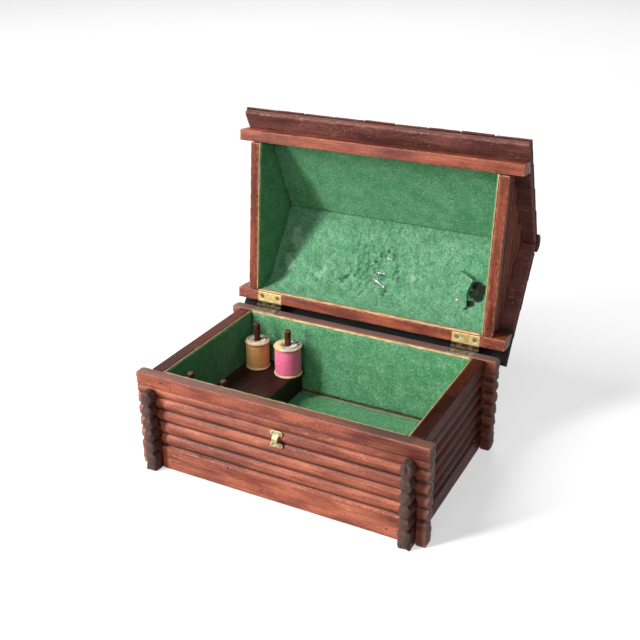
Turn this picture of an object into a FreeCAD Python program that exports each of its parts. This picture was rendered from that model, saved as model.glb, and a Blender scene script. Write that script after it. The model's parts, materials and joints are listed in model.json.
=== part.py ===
"""Sewing box in the form of a log cabin: carved log walls, shingled roof as a hinged lid.

Millimetres. The origin is the middle of the floor board's underside, +Z is up and the front faces -Y.
The lid's pieces are drawn shut in a frame on the hinge axis and then swung back to the open stop.
"""
import FreeCAD
import Part
import Sketcher
import math
import os
import re

# Driving dimensions
SIZES = {
    # Carcass
    "box_width": 266.0,
    "box_depth": 176.6,
    "box_height": 96.5,
    "side_thick": 12.7,
    "front_thick": 11.6,
    "front_end_reach": 12.4,
    "side_end_reach": 11.9,
    "front_base": 25.0,
    "side_base": 18.8,
    "log_pitch": 12.4,
    "log_depth": 3.9,
    "rim_height": 12.6,
    "end_drop": 0.4,
    "end_dome": 2.0,
    "end_round": 3.0,
    "lap_height": 46.0,
    "lap_clear": 0.1,
    "fit_clear": 0.1,
    "floor_thick": 15.9,
    "felt_thick": 1.8,
    "felt_drop": 0.6,
    # Spool shelf, pegs and spools
    "shelf_top": 44.5,
    "shelf_thick": 8.0,
    "shelf_width": 61.3,
    "riser_thick": 8.0,
    "riser_setback": 2.0,
    "cleat_width": 10.0,
    "cleat_height": 12.0,
    "peg_diameter": 6.4,
    "peg_tenon": 5.0,
    "peg_top": 93.0,
    "peg_bevel": 0.9,
    "peg_clear": 0.05,
    "peg_left_inset": 17.0,
    "peg_right_inset": 52.5,
    "peg_front_inset": 13.9,
    "peg_rear_inset": 17.9,
    "spool_clear": 0.4,
    "spool_core": 13.0,
    "flange_edge": 2.4,
    "flange_slope": 3.0,
    "label_thick": 0.2,
    "label_margin": 1.6,
    "tan_spool_diameter": 25.6,
    "tan_spool_height": 30.0,
    "tan_thread_diameter": 24.4,
    "pink_spool_diameter": 29.0,
    "pink_spool_height": 32.0,
    "pink_thread_diameter": 27.2,
    # Lid, roof and linings
    "lid_angle": 95.0,
    "lid_gap": 0.3,
    "rail_height": 17.0,
    "rail_depth": 11.6,
    "gable_thick": 10.3,
    "gable_base": 14.0,
    "roof_pitch": 31.0,
    "roof_thick": 6.3,
    "eave_reach": 15.5,
    "course_length": 28.5,
    "shingle_rise": 2.2,
    "shingle_feather": 0.4,
    "shingle_width": 32.0,
    "shingle_gap": 1.4,
    "ridge_width": 18.0,
    "ridge_edge": 3.0,
    "ridge_crown": 2.6,
    "ridge_overrun": 2.0,
    "pad_crown": 5.0,
    "pad_left_margin": 6.0,
    "pad_length": 158.0,
    # Hinges, catch keeper, torn felt and pins
    "hinge_inset": 26.0,
    "leaf_length": 28.0,
    "leaf_width": 14.2,
    "leaf_thick": 1.0,
    "knuckle_reach": 3.5,
    "knuckle_radius": 2.2,
    "knuckle_gap": 0.3,
    "hinge_pin_radius": 1.1,
    "hinge_pin_clear": 0.06,
    "screw_reach": 9.6,
    "screw_spacing": 18.0,
    "screw_head_radius": 2.5,
    "screw_shank_radius": 1.2,
    "screw_length": 8.5,
    "screw_slot": 0.7,
    "keeper_offset": 3.5,
    "keeper_height": 66.5,
    "keeper_width": 12.4,
    "keeper_tall": 16.5,
    "keeper_thick": 0.9,
    "staple_width": 5.4,
    "staple_proud": 3.4,
    "staple_tall": 9.0,
    "keeper_pin_inset": 2.3,
    "keeper_pin_radius": 0.7,
    "keeper_pin_head": 1.3,
    "keeper_pin_length": 7.0,
    "tab_width": 20.0,
    "tab_length": 36.0,
    "tab_thick": 1.4,
    "tab_inset": 33.5,
    "tab_climb": 12.5,
    "tack_radius": 2.0,
    "tack_dome": 0.9,
    "tack_shank": 0.6,
    "sewing_pin_radius": 0.35,
    "sewing_pin_length": 24.0,
    "sewing_pin_head": 0.8,
}

# Pins left in the pad: share of the pad's length and of the slope at the head, and heading on the felt
SEWING_PINS = ((0.77, 0.218, 155.0), (0.675, 0.37, 355.0), (0.735, 0.549, 352.0))
PIN_DIP = 12.0

# Share of the pad's crown where it lies flat
PAD_FLAT = 0.02

# Corners of the torn flap of felt, as shares of its width and length from its lower left
TORN_CORNERS = ((0.0, 0.23), (0.77, 0.0), (0.94, 0.07), (0.79, 0.4), (0.82, 0.54), (1.0, 0.81), (0.3, 1.0))
TACK_SHARE = (0.37, 0.26)

KNUCKLES = 5

doc = FreeCAD.newDocument("sewing_box")
sheet = doc.addObject("Spreadsheet::Sheet", "sizes")
for row, (alias, size) in enumerate(SIZES.items(), start=1):
    sheet.set(f"A{row}", alias)
    sheet.set(f"B{row}", str(size))
    sheet.setAlias(f"B{row}", alias)
doc.recompute()

# Places worked out from the driving dimensions, as expressions
HALF_W = "box_width / 2"
HALF_D = "box_depth / 2"
INSIDE_X = f"({HALF_W} - side_thick)"
INSIDE_Y = f"({HALF_D} - front_thick)"
LINED_X = f"({INSIDE_X} - felt_thick)"
LINED_Y = f"({INSIDE_Y} - felt_thick)"
FLOOR_Z = "(floor_thick + felt_thick)"
RIM_Z = "(box_height - rim_height)"
END_Z = "(box_height - rim_height - end_drop)"
WALL_LENGTH = "(box_width + 2 * front_end_reach)"
AXIS_Y = f"({HALF_D} + knuckle_reach)"
AXIS_Z = "(box_height + lid_gap / 2)"
SHELF_X = f"({LINED_X} - fit_clear)"
HINGE_X = f"({HALF_W} - hinge_inset)"
TAN = "tan(roof_pitch * 1 deg)"
COS = "cos(roof_pitch * 1 deg)"

PARTS = {}


def size(expression):
    """Value of an expression in the sheet's aliases."""
    return float(sheet.evalExpression(expression))


def bind(item, target, expression):
    """Tie one property of a document object to an expression in the sheet's aliases."""
    linked = re.sub(r"[a-z_]+", lambda m: f"sizes.{m[0]}" if m[0] in SIZES else m[0], expression)
    item.setExpression(target, linked)


def publish(item, node, placement=None):
    """Name a finished sub-part and put it in its place."""
    item.Label = node
    if placement is not None:
        item.Placement = placement
    PARTS[node] = item
    return item


def lid_frame(local=None):
    """Placement of a lid piece drawn shut, with the hinge axis as its X axis, at the open stop."""
    axis_point = FreeCAD.Vector(0, size(AXIS_Y), size(AXIS_Z))
    swing = FreeCAD.Rotation(FreeCAD.Vector(1, 0, 0), -size("lid_angle"))
    frame = FreeCAD.Placement(axis_point, swing)
    return frame.multiply(local) if local else frame


def shift(x="0", y="0", z="0"):
    """Placement that only moves."""
    return FreeCAD.Placement(FreeCAD.Vector(size(x), size(y), size(z)), FreeCAD.Rotation())


def closed_sketch(body, plane, outline, offset="0"):
    """Closed outline on an origin plane, each corner and radius tied to the sheet.

    A corner is (x, y), or (x, y, radius, turn) where an arc of that radius leads to the next corner,
    turning left (+1) or right (-1).
    """
    sketch = body.newObject("Sketcher::SketchObject", f"{body.Name}_outline")
    support = [item for item in body.Origin.OriginFeatures if item.Role == plane][0]
    sketch.AttachmentSupport = (support, [""])
    sketch.MapMode = "FlatFace"
    sketch.AttachmentOffset = shift(z=offset)
    corners = [FreeCAD.Vector(size(corner[0]), size(corner[1]), 0) for corner in outline]
    ends = []
    for index, corner in enumerate(outline):
        start = corners[index]
        finish = corners[(index + 1) % len(corners)]
        if len(corner) == 2:
            ends.append((sketch.addGeometry(Part.LineSegment(start, finish), False), 1, 2))
            continue
        radius = size(corner[2])
        chord = finish - start
        left = FreeCAD.Vector(-chord.y, chord.x, 0).normalize()
        rise = math.sqrt(radius ** 2 - (chord.Length / 2) ** 2)
        centre = (start + finish) * 0.5 + left * (rise * corner[3])
        first, last = (start, finish) if corner[3] > 0 else (finish, start)
        angles = [math.atan2(point.y - centre.y, point.x - centre.x) for point in (first, last)]
        arc = Part.ArcOfCircle(Part.Circle(centre, FreeCAD.Vector(0, 0, 1), radius), *angles)
        ends.append((sketch.addGeometry(arc, False), *((1, 2) if corner[3] > 0 else (2, 1))))
    for index, corner in enumerate(outline):
        geometry, start_end, _ = ends[index]
        before, _, finish_end = ends[index - 1]
        sketch.addConstraint(Sketcher.Constraint("Coincident", before, finish_end, geometry, start_end))
        for kind, value, place in (("DistanceX", corner[0], corners[index].x),
                                   ("DistanceY", corner[1], corners[index].y)):
            number = sketch.addConstraint(Sketcher.Constraint(kind, -1, 1, geometry, start_end, place))
            bind(sketch, f"Constraints[{number}]", value)
        if len(corner) > 2:
            number = sketch.addConstraint(Sketcher.Constraint("Radius", geometry, size(corner[2])))
            bind(sketch, f"Constraints[{number}]", corner[2])
    return sketch


def new_body(name):
    """Empty body named after its sub-part."""
    return doc.addObject("PartDesign::Body", f"{name}_body")


def pad(body, plane, outline, length, offset="0"):
    """Pad an outline by half of a length each way."""
    feature = body.newObject("PartDesign::Pad", f"{body.Name}_pad")
    feature.Profile = closed_sketch(body, plane, outline, offset)
    feature.SideType = "Symmetric"
    bind(feature, "Length", length)
    return feature


def pocket(body, plane, outline):
    """Cut an outline right through, both ways from its plane."""
    feature = body.newObject("PartDesign::Pocket", f"{body.Name}_pocket")
    feature.Profile = closed_sketch(body, plane, outline)
    feature.SideType = "Symmetric"
    feature.Type = "ThroughAll"
    return feature


def repeat(body, feature, role, step, count):
    """Repeat a pocket in a row along an origin axis of its body."""
    pattern = body.newObject("PartDesign::LinearPattern", f"{body.Name}_row")
    axis = [item for item in body.Origin.OriginFeatures if item.Role == role][0]
    pattern.Originals = [feature]
    pattern.Direction = (axis, [""])
    pattern.Occurrences = count
    bind(pattern, "Length", f"{count - 1} * ({step})")
    body.Tip = pattern
    return pattern


def turned(body, outline):
    """Revolve an outline of radii and heights about the body's Z axis."""
    feature = body.newObject("PartDesign::Revolution", f"{body.Name}_turned")
    profile = closed_sketch(body, "XZ_Plane", outline)
    feature.Profile = profile
    feature.ReferenceAxis = (profile, ["V_Axis"])
    feature.Angle = 360
    return feature


def rectangle(low_x, low_y, high_x, high_y):
    """Corners of an upright rectangle."""
    return [(low_x, low_y), (high_x, low_y), (high_x, high_y), (low_x, high_y)]


def block(name, low, high):
    """Box between two opposite corners."""
    item = doc.addObject("Part::Box", name)
    for axis, (side, near, far) in zip("xyz", zip(("Length", "Width", "Height"), low, high)):
        bind(item, side, f"({far}) - ({near})")
        bind(item, f"Placement.Base.{axis}", near)
    return item


def rod(name, radius, length, place, rotation=None):
    """Round bar from a point, along +Z unless it is turned."""
    item = doc.addObject("Part::Cylinder", name)
    bind(item, "Radius", radius)
    bind(item, "Height", length)
    base = FreeCAD.Vector(*[size(value) for value in place])
    item.Placement = FreeCAD.Placement(base, rotation or FreeCAD.Rotation())
    return item


def taper(name, lower, upper, length, place, rotation=None):
    """Cone from a lower to an upper radius."""
    item = doc.addObject("Part::Cone", name)
    bind(item, "Radius1", lower)
    bind(item, "Radius2", upper)
    bind(item, "Height", length)
    base = FreeCAD.Vector(*[size(value) for value in place])
    item.Placement = FreeCAD.Placement(base, rotation or FreeCAD.Rotation())
    return item


def fuse(name, items):
    """Join items, which may stay separate solids."""
    joined = doc.addObject("Part::MultiFuse", name)
    joined.Shapes = items
    return joined


def cut(name, base, tools):
    """Take tools away from a base."""
    trimmed = doc.addObject("Part::Cut", name)
    trimmed.Base = base
    trimmed.Tool = tools[0] if len(tools) == 1 else fuse(f"{name}_tools", tools)
    return trimmed


def log_radius(height):
    """Radius of the half-round log that fills a height."""
    return f"((({height}) / 2)^2 + log_depth^2) / (2 * log_depth)"


def log_edges(base, top):
    """Groove heights of a carved face: the base's top, each full log and the last, odd log."""
    count = round(size(f"({RIM_Z} - {base}) / log_pitch")) - 1
    return [f"({base} + {index} * log_pitch)" for index in range(count + 1)] + [top]


def carved_outline(face, back, edges, rim, back_carved=False):
    """Section of a carved board: face and back positions, groove heights, and the rim's top or None.

    The face lies on the low side of the section's first axis when face is below back.
    """
    inward = 1 if size(face) < size(back) else -1
    groove = f"({face}) + {inward} * log_depth"
    outline = [(back, "0"), (face, "0"), (face, f"{edges[0]} - log_depth / 2")]
    for low, high in zip(edges, edges[1:]):
        outline.append((groove, low, log_radius(f"{high} - {low}"), -inward))
    outline.append((groove, edges[-1]))
    if rim:
        outline += [(face, edges[-1]), (face, rim), (back, rim)]
    if not back_carved:
        return outline if rim else outline + [(back, edges[-1])]
    hollow = f"({back}) - {inward} * log_depth"
    if rim:
        outline.append((back, edges[-1]))
    for low, high in reversed(list(zip(edges, edges[1:]))):
        outline.append((hollow, high, log_radius(f"{high} - {low}"), -inward))
    return outline + [(hollow, edges[0]), (back, f"{edges[0]} - log_depth / 2")]


def domed_ends(body, elevation, end, edges, board):
    """Round off both ends of a board's logs, log by log in elevation and across the board in plan.

    edges are the heights between the logs, and board holds the low and high side of its thickness.
    """
    middle = f"(({board[0]}) + ({board[1]})) / 2"
    half = f"(({board[1]}) - ({board[0]})) / 2"
    bow = f"(({half})^2 + end_round^2) / (2 * end_round)"
    for side in (-1, 1):
        beyond = f"{side} * ({end} + log_depth)"
        knuckle = f"{side} * ({end} - end_dome)"
        outline = [(beyond, edges[0]), (beyond, edges[-1])]
        for low, high in reversed(list(zip(edges, edges[1:]))):
            radius = f"((({high} - {low}) / 2)^2 + end_dome^2) / (2 * end_dome)"
            outline.append((knuckle, high, radius, -side))
        pocket(body, elevation, outline + [(knuckle, edges[0])])
        shoulder = f"{side} * ({end} - end_round)"
        plan = [(beyond, f"{middle} - {half}"), (beyond, f"{middle} + {half}"),
                (shoulder, f"{middle} + {half}", bow, -side), (shoulder, f"{middle} - {half}")]
        if elevation == "YZ_Plane":
            plan = [(corner[1], corner[0], *corner[2:3], *[-turn for turn in corner[3:]]) for corner in plan]
        pocket(body, "XY_Plane", plan)


def front_or_rear_wall(node, facing):
    """Front (-1) or rear (+1) wall: carved board, log ends carved all round, notched from below."""
    body = new_body(node)
    face = f"{facing} * {HALF_D}"
    back = f"{facing} * {INSIDE_Y}"
    edges = log_edges("front_base", RIM_Z)
    pad(body, "YZ_Plane", carved_outline(face, back, edges, "box_height"), "box_width")
    pad(body, "YZ_Plane", carved_outline(face, back, edges, "box_height", back_carved=True), WALL_LENGTH)
    for side in (-1, 1):
        middle = f"{side} * ({HALF_W} - side_thick / 2)"
        half = "(side_thick / 2 + lap_clear)"
        notch = rectangle(f"{middle} - {half}", "-log_depth", f"{middle} + {half}", "lap_height + lap_clear")
        pocket(body, "XZ_Plane", notch)
    board = (face, back) if facing < 0 else (back, face)
    domed_ends(body, "XZ_Plane", f"({WALL_LENGTH} / 2)", ["0", *edges, "box_height"], board)
    return body


def side_wall(node, facing):
    """Left (-1) or right (+1) wall: carved board, log ends carved all round, notched from above."""
    body = new_body(node)
    face = f"{facing} * {HALF_W}"
    back = f"{facing} * {INSIDE_X}"
    edges = log_edges("side_base", RIM_Z)
    ends = log_edges("side_base", END_Z)
    pad(body, "XZ_Plane", carved_outline(face, back, edges, "box_height"), "box_depth")
    length = "box_depth + 2 * side_end_reach"
    pad(body, "XZ_Plane", carved_outline(face, back, ends, None, back_carved=True), length)
    for side in (-1, 1):
        middle = f"{side} * ({HALF_D} - front_thick / 2)"
        half = "(front_thick / 2 + lap_clear)"
        notch = rectangle(f"{middle} - {half}", "lap_height", f"{middle} + {half}", "box_height + log_depth")
        pocket(body, "YZ_Plane", notch)
    board = (face, back) if facing < 0 else (back, face)
    domed_ends(body, "YZ_Plane", f"({HALF_D} + side_end_reach)", ["0", *ends], board)
    return body


def hinge_sides():
    """The two hinges: name and the X of its middle."""
    return (("left", f"-{HINGE_X}"), ("right", HINGE_X))


def screw_places():
    """X of each hinge screw."""
    return [f"{middle} + {side} * screw_spacing / 2" for _, middle in hinge_sides() for side in (-1, 1)]


def screw_seat(name, x, y, z, grow, downwards):
    """One countersunk screw whose head is flush at height z: cone and shank, grown by a clearance."""
    turn = FreeCAD.Rotation() if not downwards else FreeCAD.Rotation(FreeCAD.Vector(1, 0, 0), 180)
    head = taper(f"{name}_head", f"screw_head_radius + {grow}", f"screw_shank_radius + {grow}",
                 "screw_head_radius - screw_shank_radius", (x, y, z), turn)
    shank = rod(f"{name}_shank", f"screw_shank_radius + {grow}", f"screw_length + {grow}", (x, y, z), turn)
    return [head, shank]


def hinge_screws(node, y, z, downwards):
    """The screws of the two leaves on one side of the hinge line, with slotted heads."""
    solids = []
    slots = []
    for index, x in enumerate(screw_places()):
        solids += screw_seat(f"{node}_{index}", x, y, z, "0", downwards)
        depth = ("0", "-screw_slot") if downwards else ("screw_slot", "0")
        slots.append(block(f"{node}_slot_{index}",
                           (f"{x} - screw_head_radius", f"{y} - screw_slot / 2", f"{z} + {depth[1]}"),
                           (f"{x} + screw_head_radius", f"{y} + screw_slot / 2", f"{z} + {depth[0]}")))
    return cut(node, fuse(f"{node}_solids", solids), slots)


def leaf_seat(name, middle, y_axis, z_low, z_high):
    """Mortise for one hinge leaf in the edge of a rail."""
    half = "(leaf_length / 2 + fit_clear)"
    return block(name, (f"{middle} - {half}", f"{y_axis} - leaf_width - fit_clear", z_low),
                 (f"{middle} + {half}", y_axis, z_high))


def hinge_leaf(node, middle, y_axis, z_axis, own, plate_low, plate_high, downwards):
    """One leaf: plate with two screw holes and its share of the knuckles.

    own says which knuckles belong to this leaf; the plate is cut back round the others.
    """
    along_x = FreeCAD.Rotation(FreeCAD.Vector(0, 1, 0), 90)
    plate = block(f"{node}_plate", (f"{middle} - leaf_length / 2", f"{y_axis} - leaf_width", plate_low),
                  (f"{middle} + leaf_length / 2", y_axis, plate_high))
    joined = [plate]
    holes = []
    for index in range(KNUCKLES):
        start = f"{middle} - leaf_length / 2 + {index} * leaf_length / {KNUCKLES}"
        share = f"leaf_length / {KNUCKLES}"
        if index in own:
            joined.append(rod(f"{node}_knuckle_{index}", "knuckle_radius", f"{share} - knuckle_gap",
                              (f"{start} + knuckle_gap / 2", y_axis, z_axis), along_x))
        else:
            holes.append(rod(f"{node}_room_{index}", "knuckle_radius + knuckle_gap", f"{share} + knuckle_gap",
                             (f"{start} - knuckle_gap / 2", y_axis, z_axis), along_x))
    holes.append(rod(f"{node}_bore", "hinge_pin_radius + hinge_pin_clear", "leaf_length + 2 * knuckle_gap",
                     (f"{middle} - leaf_length / 2 - knuckle_gap", y_axis, z_axis), along_x))
    face = plate_high if downwards else plate_low
    for side in (-1, 1):
        x = f"{middle} + {side} * screw_spacing / 2"
        holes += screw_seat(f"{node}_hole_{side + 1}", x, f"{y_axis} - screw_reach", face, "lap_clear",
                            downwards)
    return cut(node, fuse(f"{node}_solid", joined), holes)


def build_carcass():
    """Floor, four carved walls, linings and the fittings let into the rear and front walls."""
    publish(block("floor", (f"-{INSIDE_X} + fit_clear", f"-{INSIDE_Y} + fit_clear", "0"),
                  (f"{INSIDE_X} - fit_clear", f"{INSIDE_Y} - fit_clear", "floor_thick")), "floor_board")
    publish(side_wall("left_wall", -1), "left_wall")
    publish(side_wall("right_wall", 1), "right_wall")
    screw_y = f"{AXIS_Y} - screw_reach"
    seats = []
    for side, middle in hinge_sides():
        seats.append(leaf_seat(f"{side}_lower_seat", middle, AXIS_Y, "box_height - leaf_thick - fit_clear",
                               "box_height + log_depth"))
    for index, x in enumerate(screw_places()):
        seats += screw_seat(f"rear_pilot_{index}", x, screw_y, "box_height", "lap_clear", True)
    publish(cut("rear_wall", front_or_rear_wall("rear_wall", 1), seats), "rear_wall")
    pilots = keeper_pin_holes("keeper_pilot")
    publish(cut("front_wall", front_or_rear_wall("front_wall", -1), pilots), "front_wall")
    top = "box_height - felt_drop"
    low = f"{FLOOR_Z} + fit_clear"
    gap = "fit_clear"
    publish(block("floor_felt", (f"-{INSIDE_X} + {gap}", f"-{INSIDE_Y} + {gap}", "floor_thick"),
                  (f"{INSIDE_X} - {gap}", f"{INSIDE_Y} - {gap}", FLOOR_Z)), "floor_lining")
    for node, side in (("left_lining", -1), ("right_lining", 1)):
        near, far = (f"-{INSIDE_X}", f"-{LINED_X}") if side < 0 else (LINED_X, INSIDE_X)
        publish(block(node, (near, f"-{INSIDE_Y} + {gap}", low), (far, f"{INSIDE_Y} - {gap}", top)), node)
    for node, side in (("front_lining", -1), ("rear_lining", 1)):
        near, far = (f"-{INSIDE_Y}", f"-{LINED_Y}") if side < 0 else (LINED_Y, INSIDE_Y)
        publish(block(node, (f"-{LINED_X} + {gap}", near, low), (f"{LINED_X} - {gap}", far, top)), node)


BACKWARDS = FreeCAD.Rotation(FreeCAD.Vector(1, 0, 0), -90)

# Radius of a rounded lobe as a share of its height, just over a half
LOBE_SHARE = 0.5005


def keeper_pin_places():
    """Where the keeper's four pins enter the front wall."""
    places = []
    for across in (-1, 1):
        for up in (-1, 1):
            x = f"keeper_offset + {across} * (keeper_width / 2 - keeper_pin_inset)"
            z = f"keeper_height + {up} * (keeper_tall / 2 - keeper_pin_inset)"
            places.append((x, f"-{HALF_D} - keeper_thick", z))
    return places


def keeper_pin_holes(name):
    """Bores for the keeper's pins."""
    return [rod(f"{name}_{index}", "keeper_pin_radius + peg_clear", "keeper_pin_length", place, BACKWARDS)
            for index, place in enumerate(keeper_pin_places())]


def build_keeper():
    """Brass catch keeper: two lobed feet joined by an arched staple, held by four pins."""
    body = new_body("catch_keeper")
    foot = "((keeper_tall - staple_tall) / 2 + keeper_thick)"
    lobe = f"{foot} * {LOBE_SHARE}"
    left = f"keeper_offset - keeper_width / 2 + {foot} / 2"
    right = f"keeper_offset + keeper_width / 2 - {foot} / 2"
    middle = "keeper_height"
    face = f"-{HALF_D} - keeper_thick"
    arch_radius = "((staple_tall / 2)^2 + staple_proud^2) / (2 * staple_proud)"
    inner_radius = ("((staple_tall / 2 - keeper_thick)^2 + (staple_proud - keeper_thick)^2)"
                    " / (2 * (staple_proud - keeper_thick))")
    arch = [(face, f"{middle} + staple_tall / 2", arch_radius, 1), (face, f"{middle} - staple_tall / 2"),
            (face, f"{middle} - staple_tall / 2 + keeper_thick", inner_radius, -1),
            (face, f"{middle} + staple_tall / 2 - keeper_thick")]
    pad(body, "YZ_Plane", arch, "staple_width", "keeper_offset")
    for side in (-1, 1):
        outer = f"{middle} + {side} * keeper_tall / 2"
        inner = f"{outer} - {side} * {foot}"
        low, high = (inner, outer) if side > 0 else (outer, inner)
        plate = body.newObject("PartDesign::Pad", f"keeper_foot_{side + 1}")
        plate.Profile = closed_sketch(body, "XZ_Plane", [(left, low), (right, low, lobe, 1), (right, high),
                                                         (left, high, lobe, 1)], HALF_D)
        bind(plate, "Length", "keeper_thick")
    publish(cut("catch_keeper", body, keeper_pin_holes("keeper_hole")), "catch_keeper")
    pins = []
    for index, (x, y, z) in enumerate(keeper_pin_places()):
        pins.append(rod(f"keeper_shank_{index}", "keeper_pin_radius", "keeper_pin_length - fit_clear",
                        (x, y, z), BACKWARDS))
        pins.append(taper(f"keeper_cap_{index}", "keeper_pin_radius", "keeper_pin_head", "keeper_pin_radius",
                          (x, f"{y} - keeper_pin_radius", z), BACKWARDS))
    publish(fuse("keeper_pins", pins), "keeper_pins")


def peg_places():
    """Name and middle of the four pegs."""
    left = f"-{LINED_X} + peg_left_inset"
    right = f"-{LINED_X} + peg_right_inset"
    front = f"-{LINED_Y} + peg_front_inset"
    rear = f"{LINED_Y} - peg_rear_inset"
    return {"peg_front_left": (left, front), "peg_front_right": (right, front),
            "peg_rear_left": (left, rear), "peg_rear_right": (right, rear)}


def build_shelf():
    """Spool shelf on a riser and a cleat, and the four pegs."""
    left = f"-{SHELF_X}"
    edge = f"{left} + shelf_width"
    length = f"{LINED_Y} - fit_clear"
    under = "shelf_top - shelf_thick"
    board = block("shelf_board", (left, f"-({length})", under), (edge, length, "shelf_top"))
    holes = [rod(f"{peg}_hole", "peg_tenon / 2 + peg_clear", "shelf_thick", (x, y, under))
             for peg, (x, y) in peg_places().items()]
    publish(cut("spool_shelf", board, holes), "spool_shelf")
    riser_x = f"{edge} - riser_setback"
    publish(block("riser", (f"{riser_x} - riser_thick", f"-({length})", FLOOR_Z),
                  (riser_x, length, under)), "shelf_riser")
    publish(block("cleat", (left, f"-({length})", f"{under} - cleat_height"),
                  (f"{left} + cleat_width", length, under)), "shelf_cleat")
    radius = "peg_diameter / 2"
    for peg, (x, y) in peg_places().items():
        body = new_body(peg)
        turned(body, [("0", under), ("peg_tenon / 2", under), ("peg_tenon / 2", "shelf_top"),
                      (radius, "shelf_top"), (radius, "peg_top - peg_bevel"),
                      (f"{radius} - peg_bevel", "peg_top"), ("0", "peg_top")])
        publish(body, peg, shift(x, y))


def build_spool(colour, peg):
    """Turned wooden spool, its winding of thread and a paper ring on top."""
    spot = shift(*peg_places()[peg], "shelf_top + fit_clear")
    tall = f"{colour}_spool_height"
    edge = f"{colour}_spool_diameter / 2"
    bore = "(peg_diameter / 2 + spool_clear)"
    core = "spool_core / 2"
    shoulder = "(flange_edge + flange_slope)"
    spool = new_body(f"{colour}_spool")
    turned(spool, [(bore, "0"), (edge, "0"), (edge, "flange_edge"), (core, shoulder),
                   (core, f"{tall} - {shoulder}"), (edge, f"{tall} - flange_edge"), (edge, tall),
                   (bore, tall)])
    publish(spool, f"{colour}_spool", spot)
    outer = f"{colour}_thread_diameter / 2"
    grade = f"flange_slope / ({edge} - {core})"
    low = f"(flange_edge + ({edge} - {outer}) * {grade} + fit_clear)"
    foot = f"({shoulder} + fit_clear)"
    thread = new_body(f"{colour}_thread")
    turned(thread, [(f"{core} + peg_clear", foot), (outer, low), (outer, f"{tall} - {low}"),
                    (f"{core} + peg_clear", f"{tall} - {foot}")])
    publish(thread, f"{colour}_thread", spot)
    label = new_body(f"{colour}_label")
    turned(label, [(f"{bore} + label_margin / 2", tall), (f"{edge} - label_margin", tall),
                   (f"{edge} - label_margin", f"{tall} + label_thick"),
                   (f"{bore} + label_margin / 2", f"{tall} + label_thick")])
    publish(label, f"{colour}_label", spot)


def build_hinges():
    """Two butt hinges: lower leaf and pin on the box, upper leaf on the lid, and their screws."""
    outer_knuckles = range(0, KNUCKLES, 2)
    inner_knuckles = range(1, KNUCKLES, 2)
    along_x = FreeCAD.Rotation(FreeCAD.Vector(0, 1, 0), 90)
    lower = ("box_height - leaf_thick", "box_height")
    upper = ("lid_gap / 2", "lid_gap / 2 + leaf_thick")
    for side, middle in hinge_sides():
        node = f"{side}_hinge_lower_leaf"
        publish(hinge_leaf(node, middle, AXIS_Y, AXIS_Z, outer_knuckles, *lower, True), node)
        node = f"{side}_hinge_upper_leaf"
        publish(hinge_leaf(node, middle, "0", "0", inner_knuckles, *upper, False), node, lid_frame())
        node = f"{side}_hinge_pin"
        publish(rod(node, "hinge_pin_radius", "leaf_length", (f"{middle} - leaf_length / 2", AXIS_Y, AXIS_Z),
                    along_x), node)
    screw_y = f"{AXIS_Y} - screw_reach"
    publish(hinge_screws("lower_hinge_screws", screw_y, "box_height", True), "lower_hinge_screws")
    publish(hinge_screws("upper_hinge_screws", "-screw_reach", "lid_gap / 2", False), "upper_hinge_screws",
            lid_frame())


# Lid sections: distances back from the hinge axis are negative along Y, heights are above the axis
LID_LOW = "lid_gap / 2"
REAR_FACE = "-knuckle_reach"
REAR_BACK = "(-knuckle_reach - rail_depth)"
FRONT_FACE = "(-knuckle_reach - box_depth)"
FRONT_BACK = "(-knuckle_reach - box_depth + rail_depth)"
RIDGE_Y = f"(-knuckle_reach - {HALF_D})"
GABLE_IN = f"({HALF_W} - gable_thick)"
SLOPE = f"(({REAR_BACK} - {RIDGE_Y} - 2 * fit_clear) / {COS})"
PAD_START = f"(-{GABLE_IN} + felt_thick + 2 * fit_clear + pad_left_margin)"


def roof_under(y):
    """Height of the roof boards' underside above the hinge axis."""
    return f"({LID_LOW} + rail_height + ({HALF_D} - abs({y} - {RIDGE_Y})) * {TAN})"


def build_lid_frame():
    """Front and rear rails and the two gables."""
    gap = "fit_clear"
    pieces = {"rear_rail": (REAR_FACE, REAR_BACK), "front_rail": (FRONT_FACE, FRONT_BACK)}
    for node, (face, back) in pieces.items():
        body = new_body(node)
        pad(body, "YZ_Plane", [(face, LID_LOW), (back, LID_LOW), (back, f"{roof_under(back)} - {gap}"),
                               (face, f"{roof_under(face)} - {gap}")], WALL_LENGTH)
        if node == "front_rail":
            publish(body, node, lid_frame())
            continue
        seats = []
        for side, middle in hinge_sides():
            seats.append(leaf_seat(f"{side}_upper_seat", middle, "0", "-log_depth",
                                   f"{LID_LOW} + leaf_thick + {gap}"))
        for index, x in enumerate(screw_places()):
            seats += screw_seat(f"rail_pilot_{index}", x, "-screw_reach", LID_LOW, "lap_clear", False)
        publish(cut(node, body, seats), node, lid_frame())
    rear = f"{REAR_BACK} - {gap}"
    front = f"{FRONT_BACK} + {gap}"
    for node, side in (("left_gable", -1), ("right_gable", 1)):
        body = new_body(node)
        pad(body, "YZ_Plane", [(rear, LID_LOW), (rear, f"{roof_under(rear)} - {gap}"),
                               (RIDGE_Y, f"{roof_under(RIDGE_Y)} - {gap}"),
                               (front, f"{roof_under(front)} - {gap}"), (front, LID_LOW)], "gable_thick")
        face = f"{side} * gable_thick / 2"
        beyond = f"{side} * (gable_thick / 2 + log_depth)"
        deep = f"{side} * (gable_thick / 2 - log_depth)"
        low = "gable_base - log_pitch / 2"
        high = "gable_base + log_pitch / 2"
        radius = log_radius("log_pitch")
        count = int(size(f"({roof_under(RIDGE_Y)} - gable_base) / log_pitch"))
        groove = pocket(body, "XZ_Plane", [(face, low), (beyond, low), (beyond, high),
                                           (face, high, radius, side), (deep, "gable_base", radius, side)])
        repeat(body, groove, "Z_Axis", "log_pitch", count)
        publish(body, node, lid_frame(shift(f"{side} * ({HALF_W} - gable_thick / 2)")))


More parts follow.
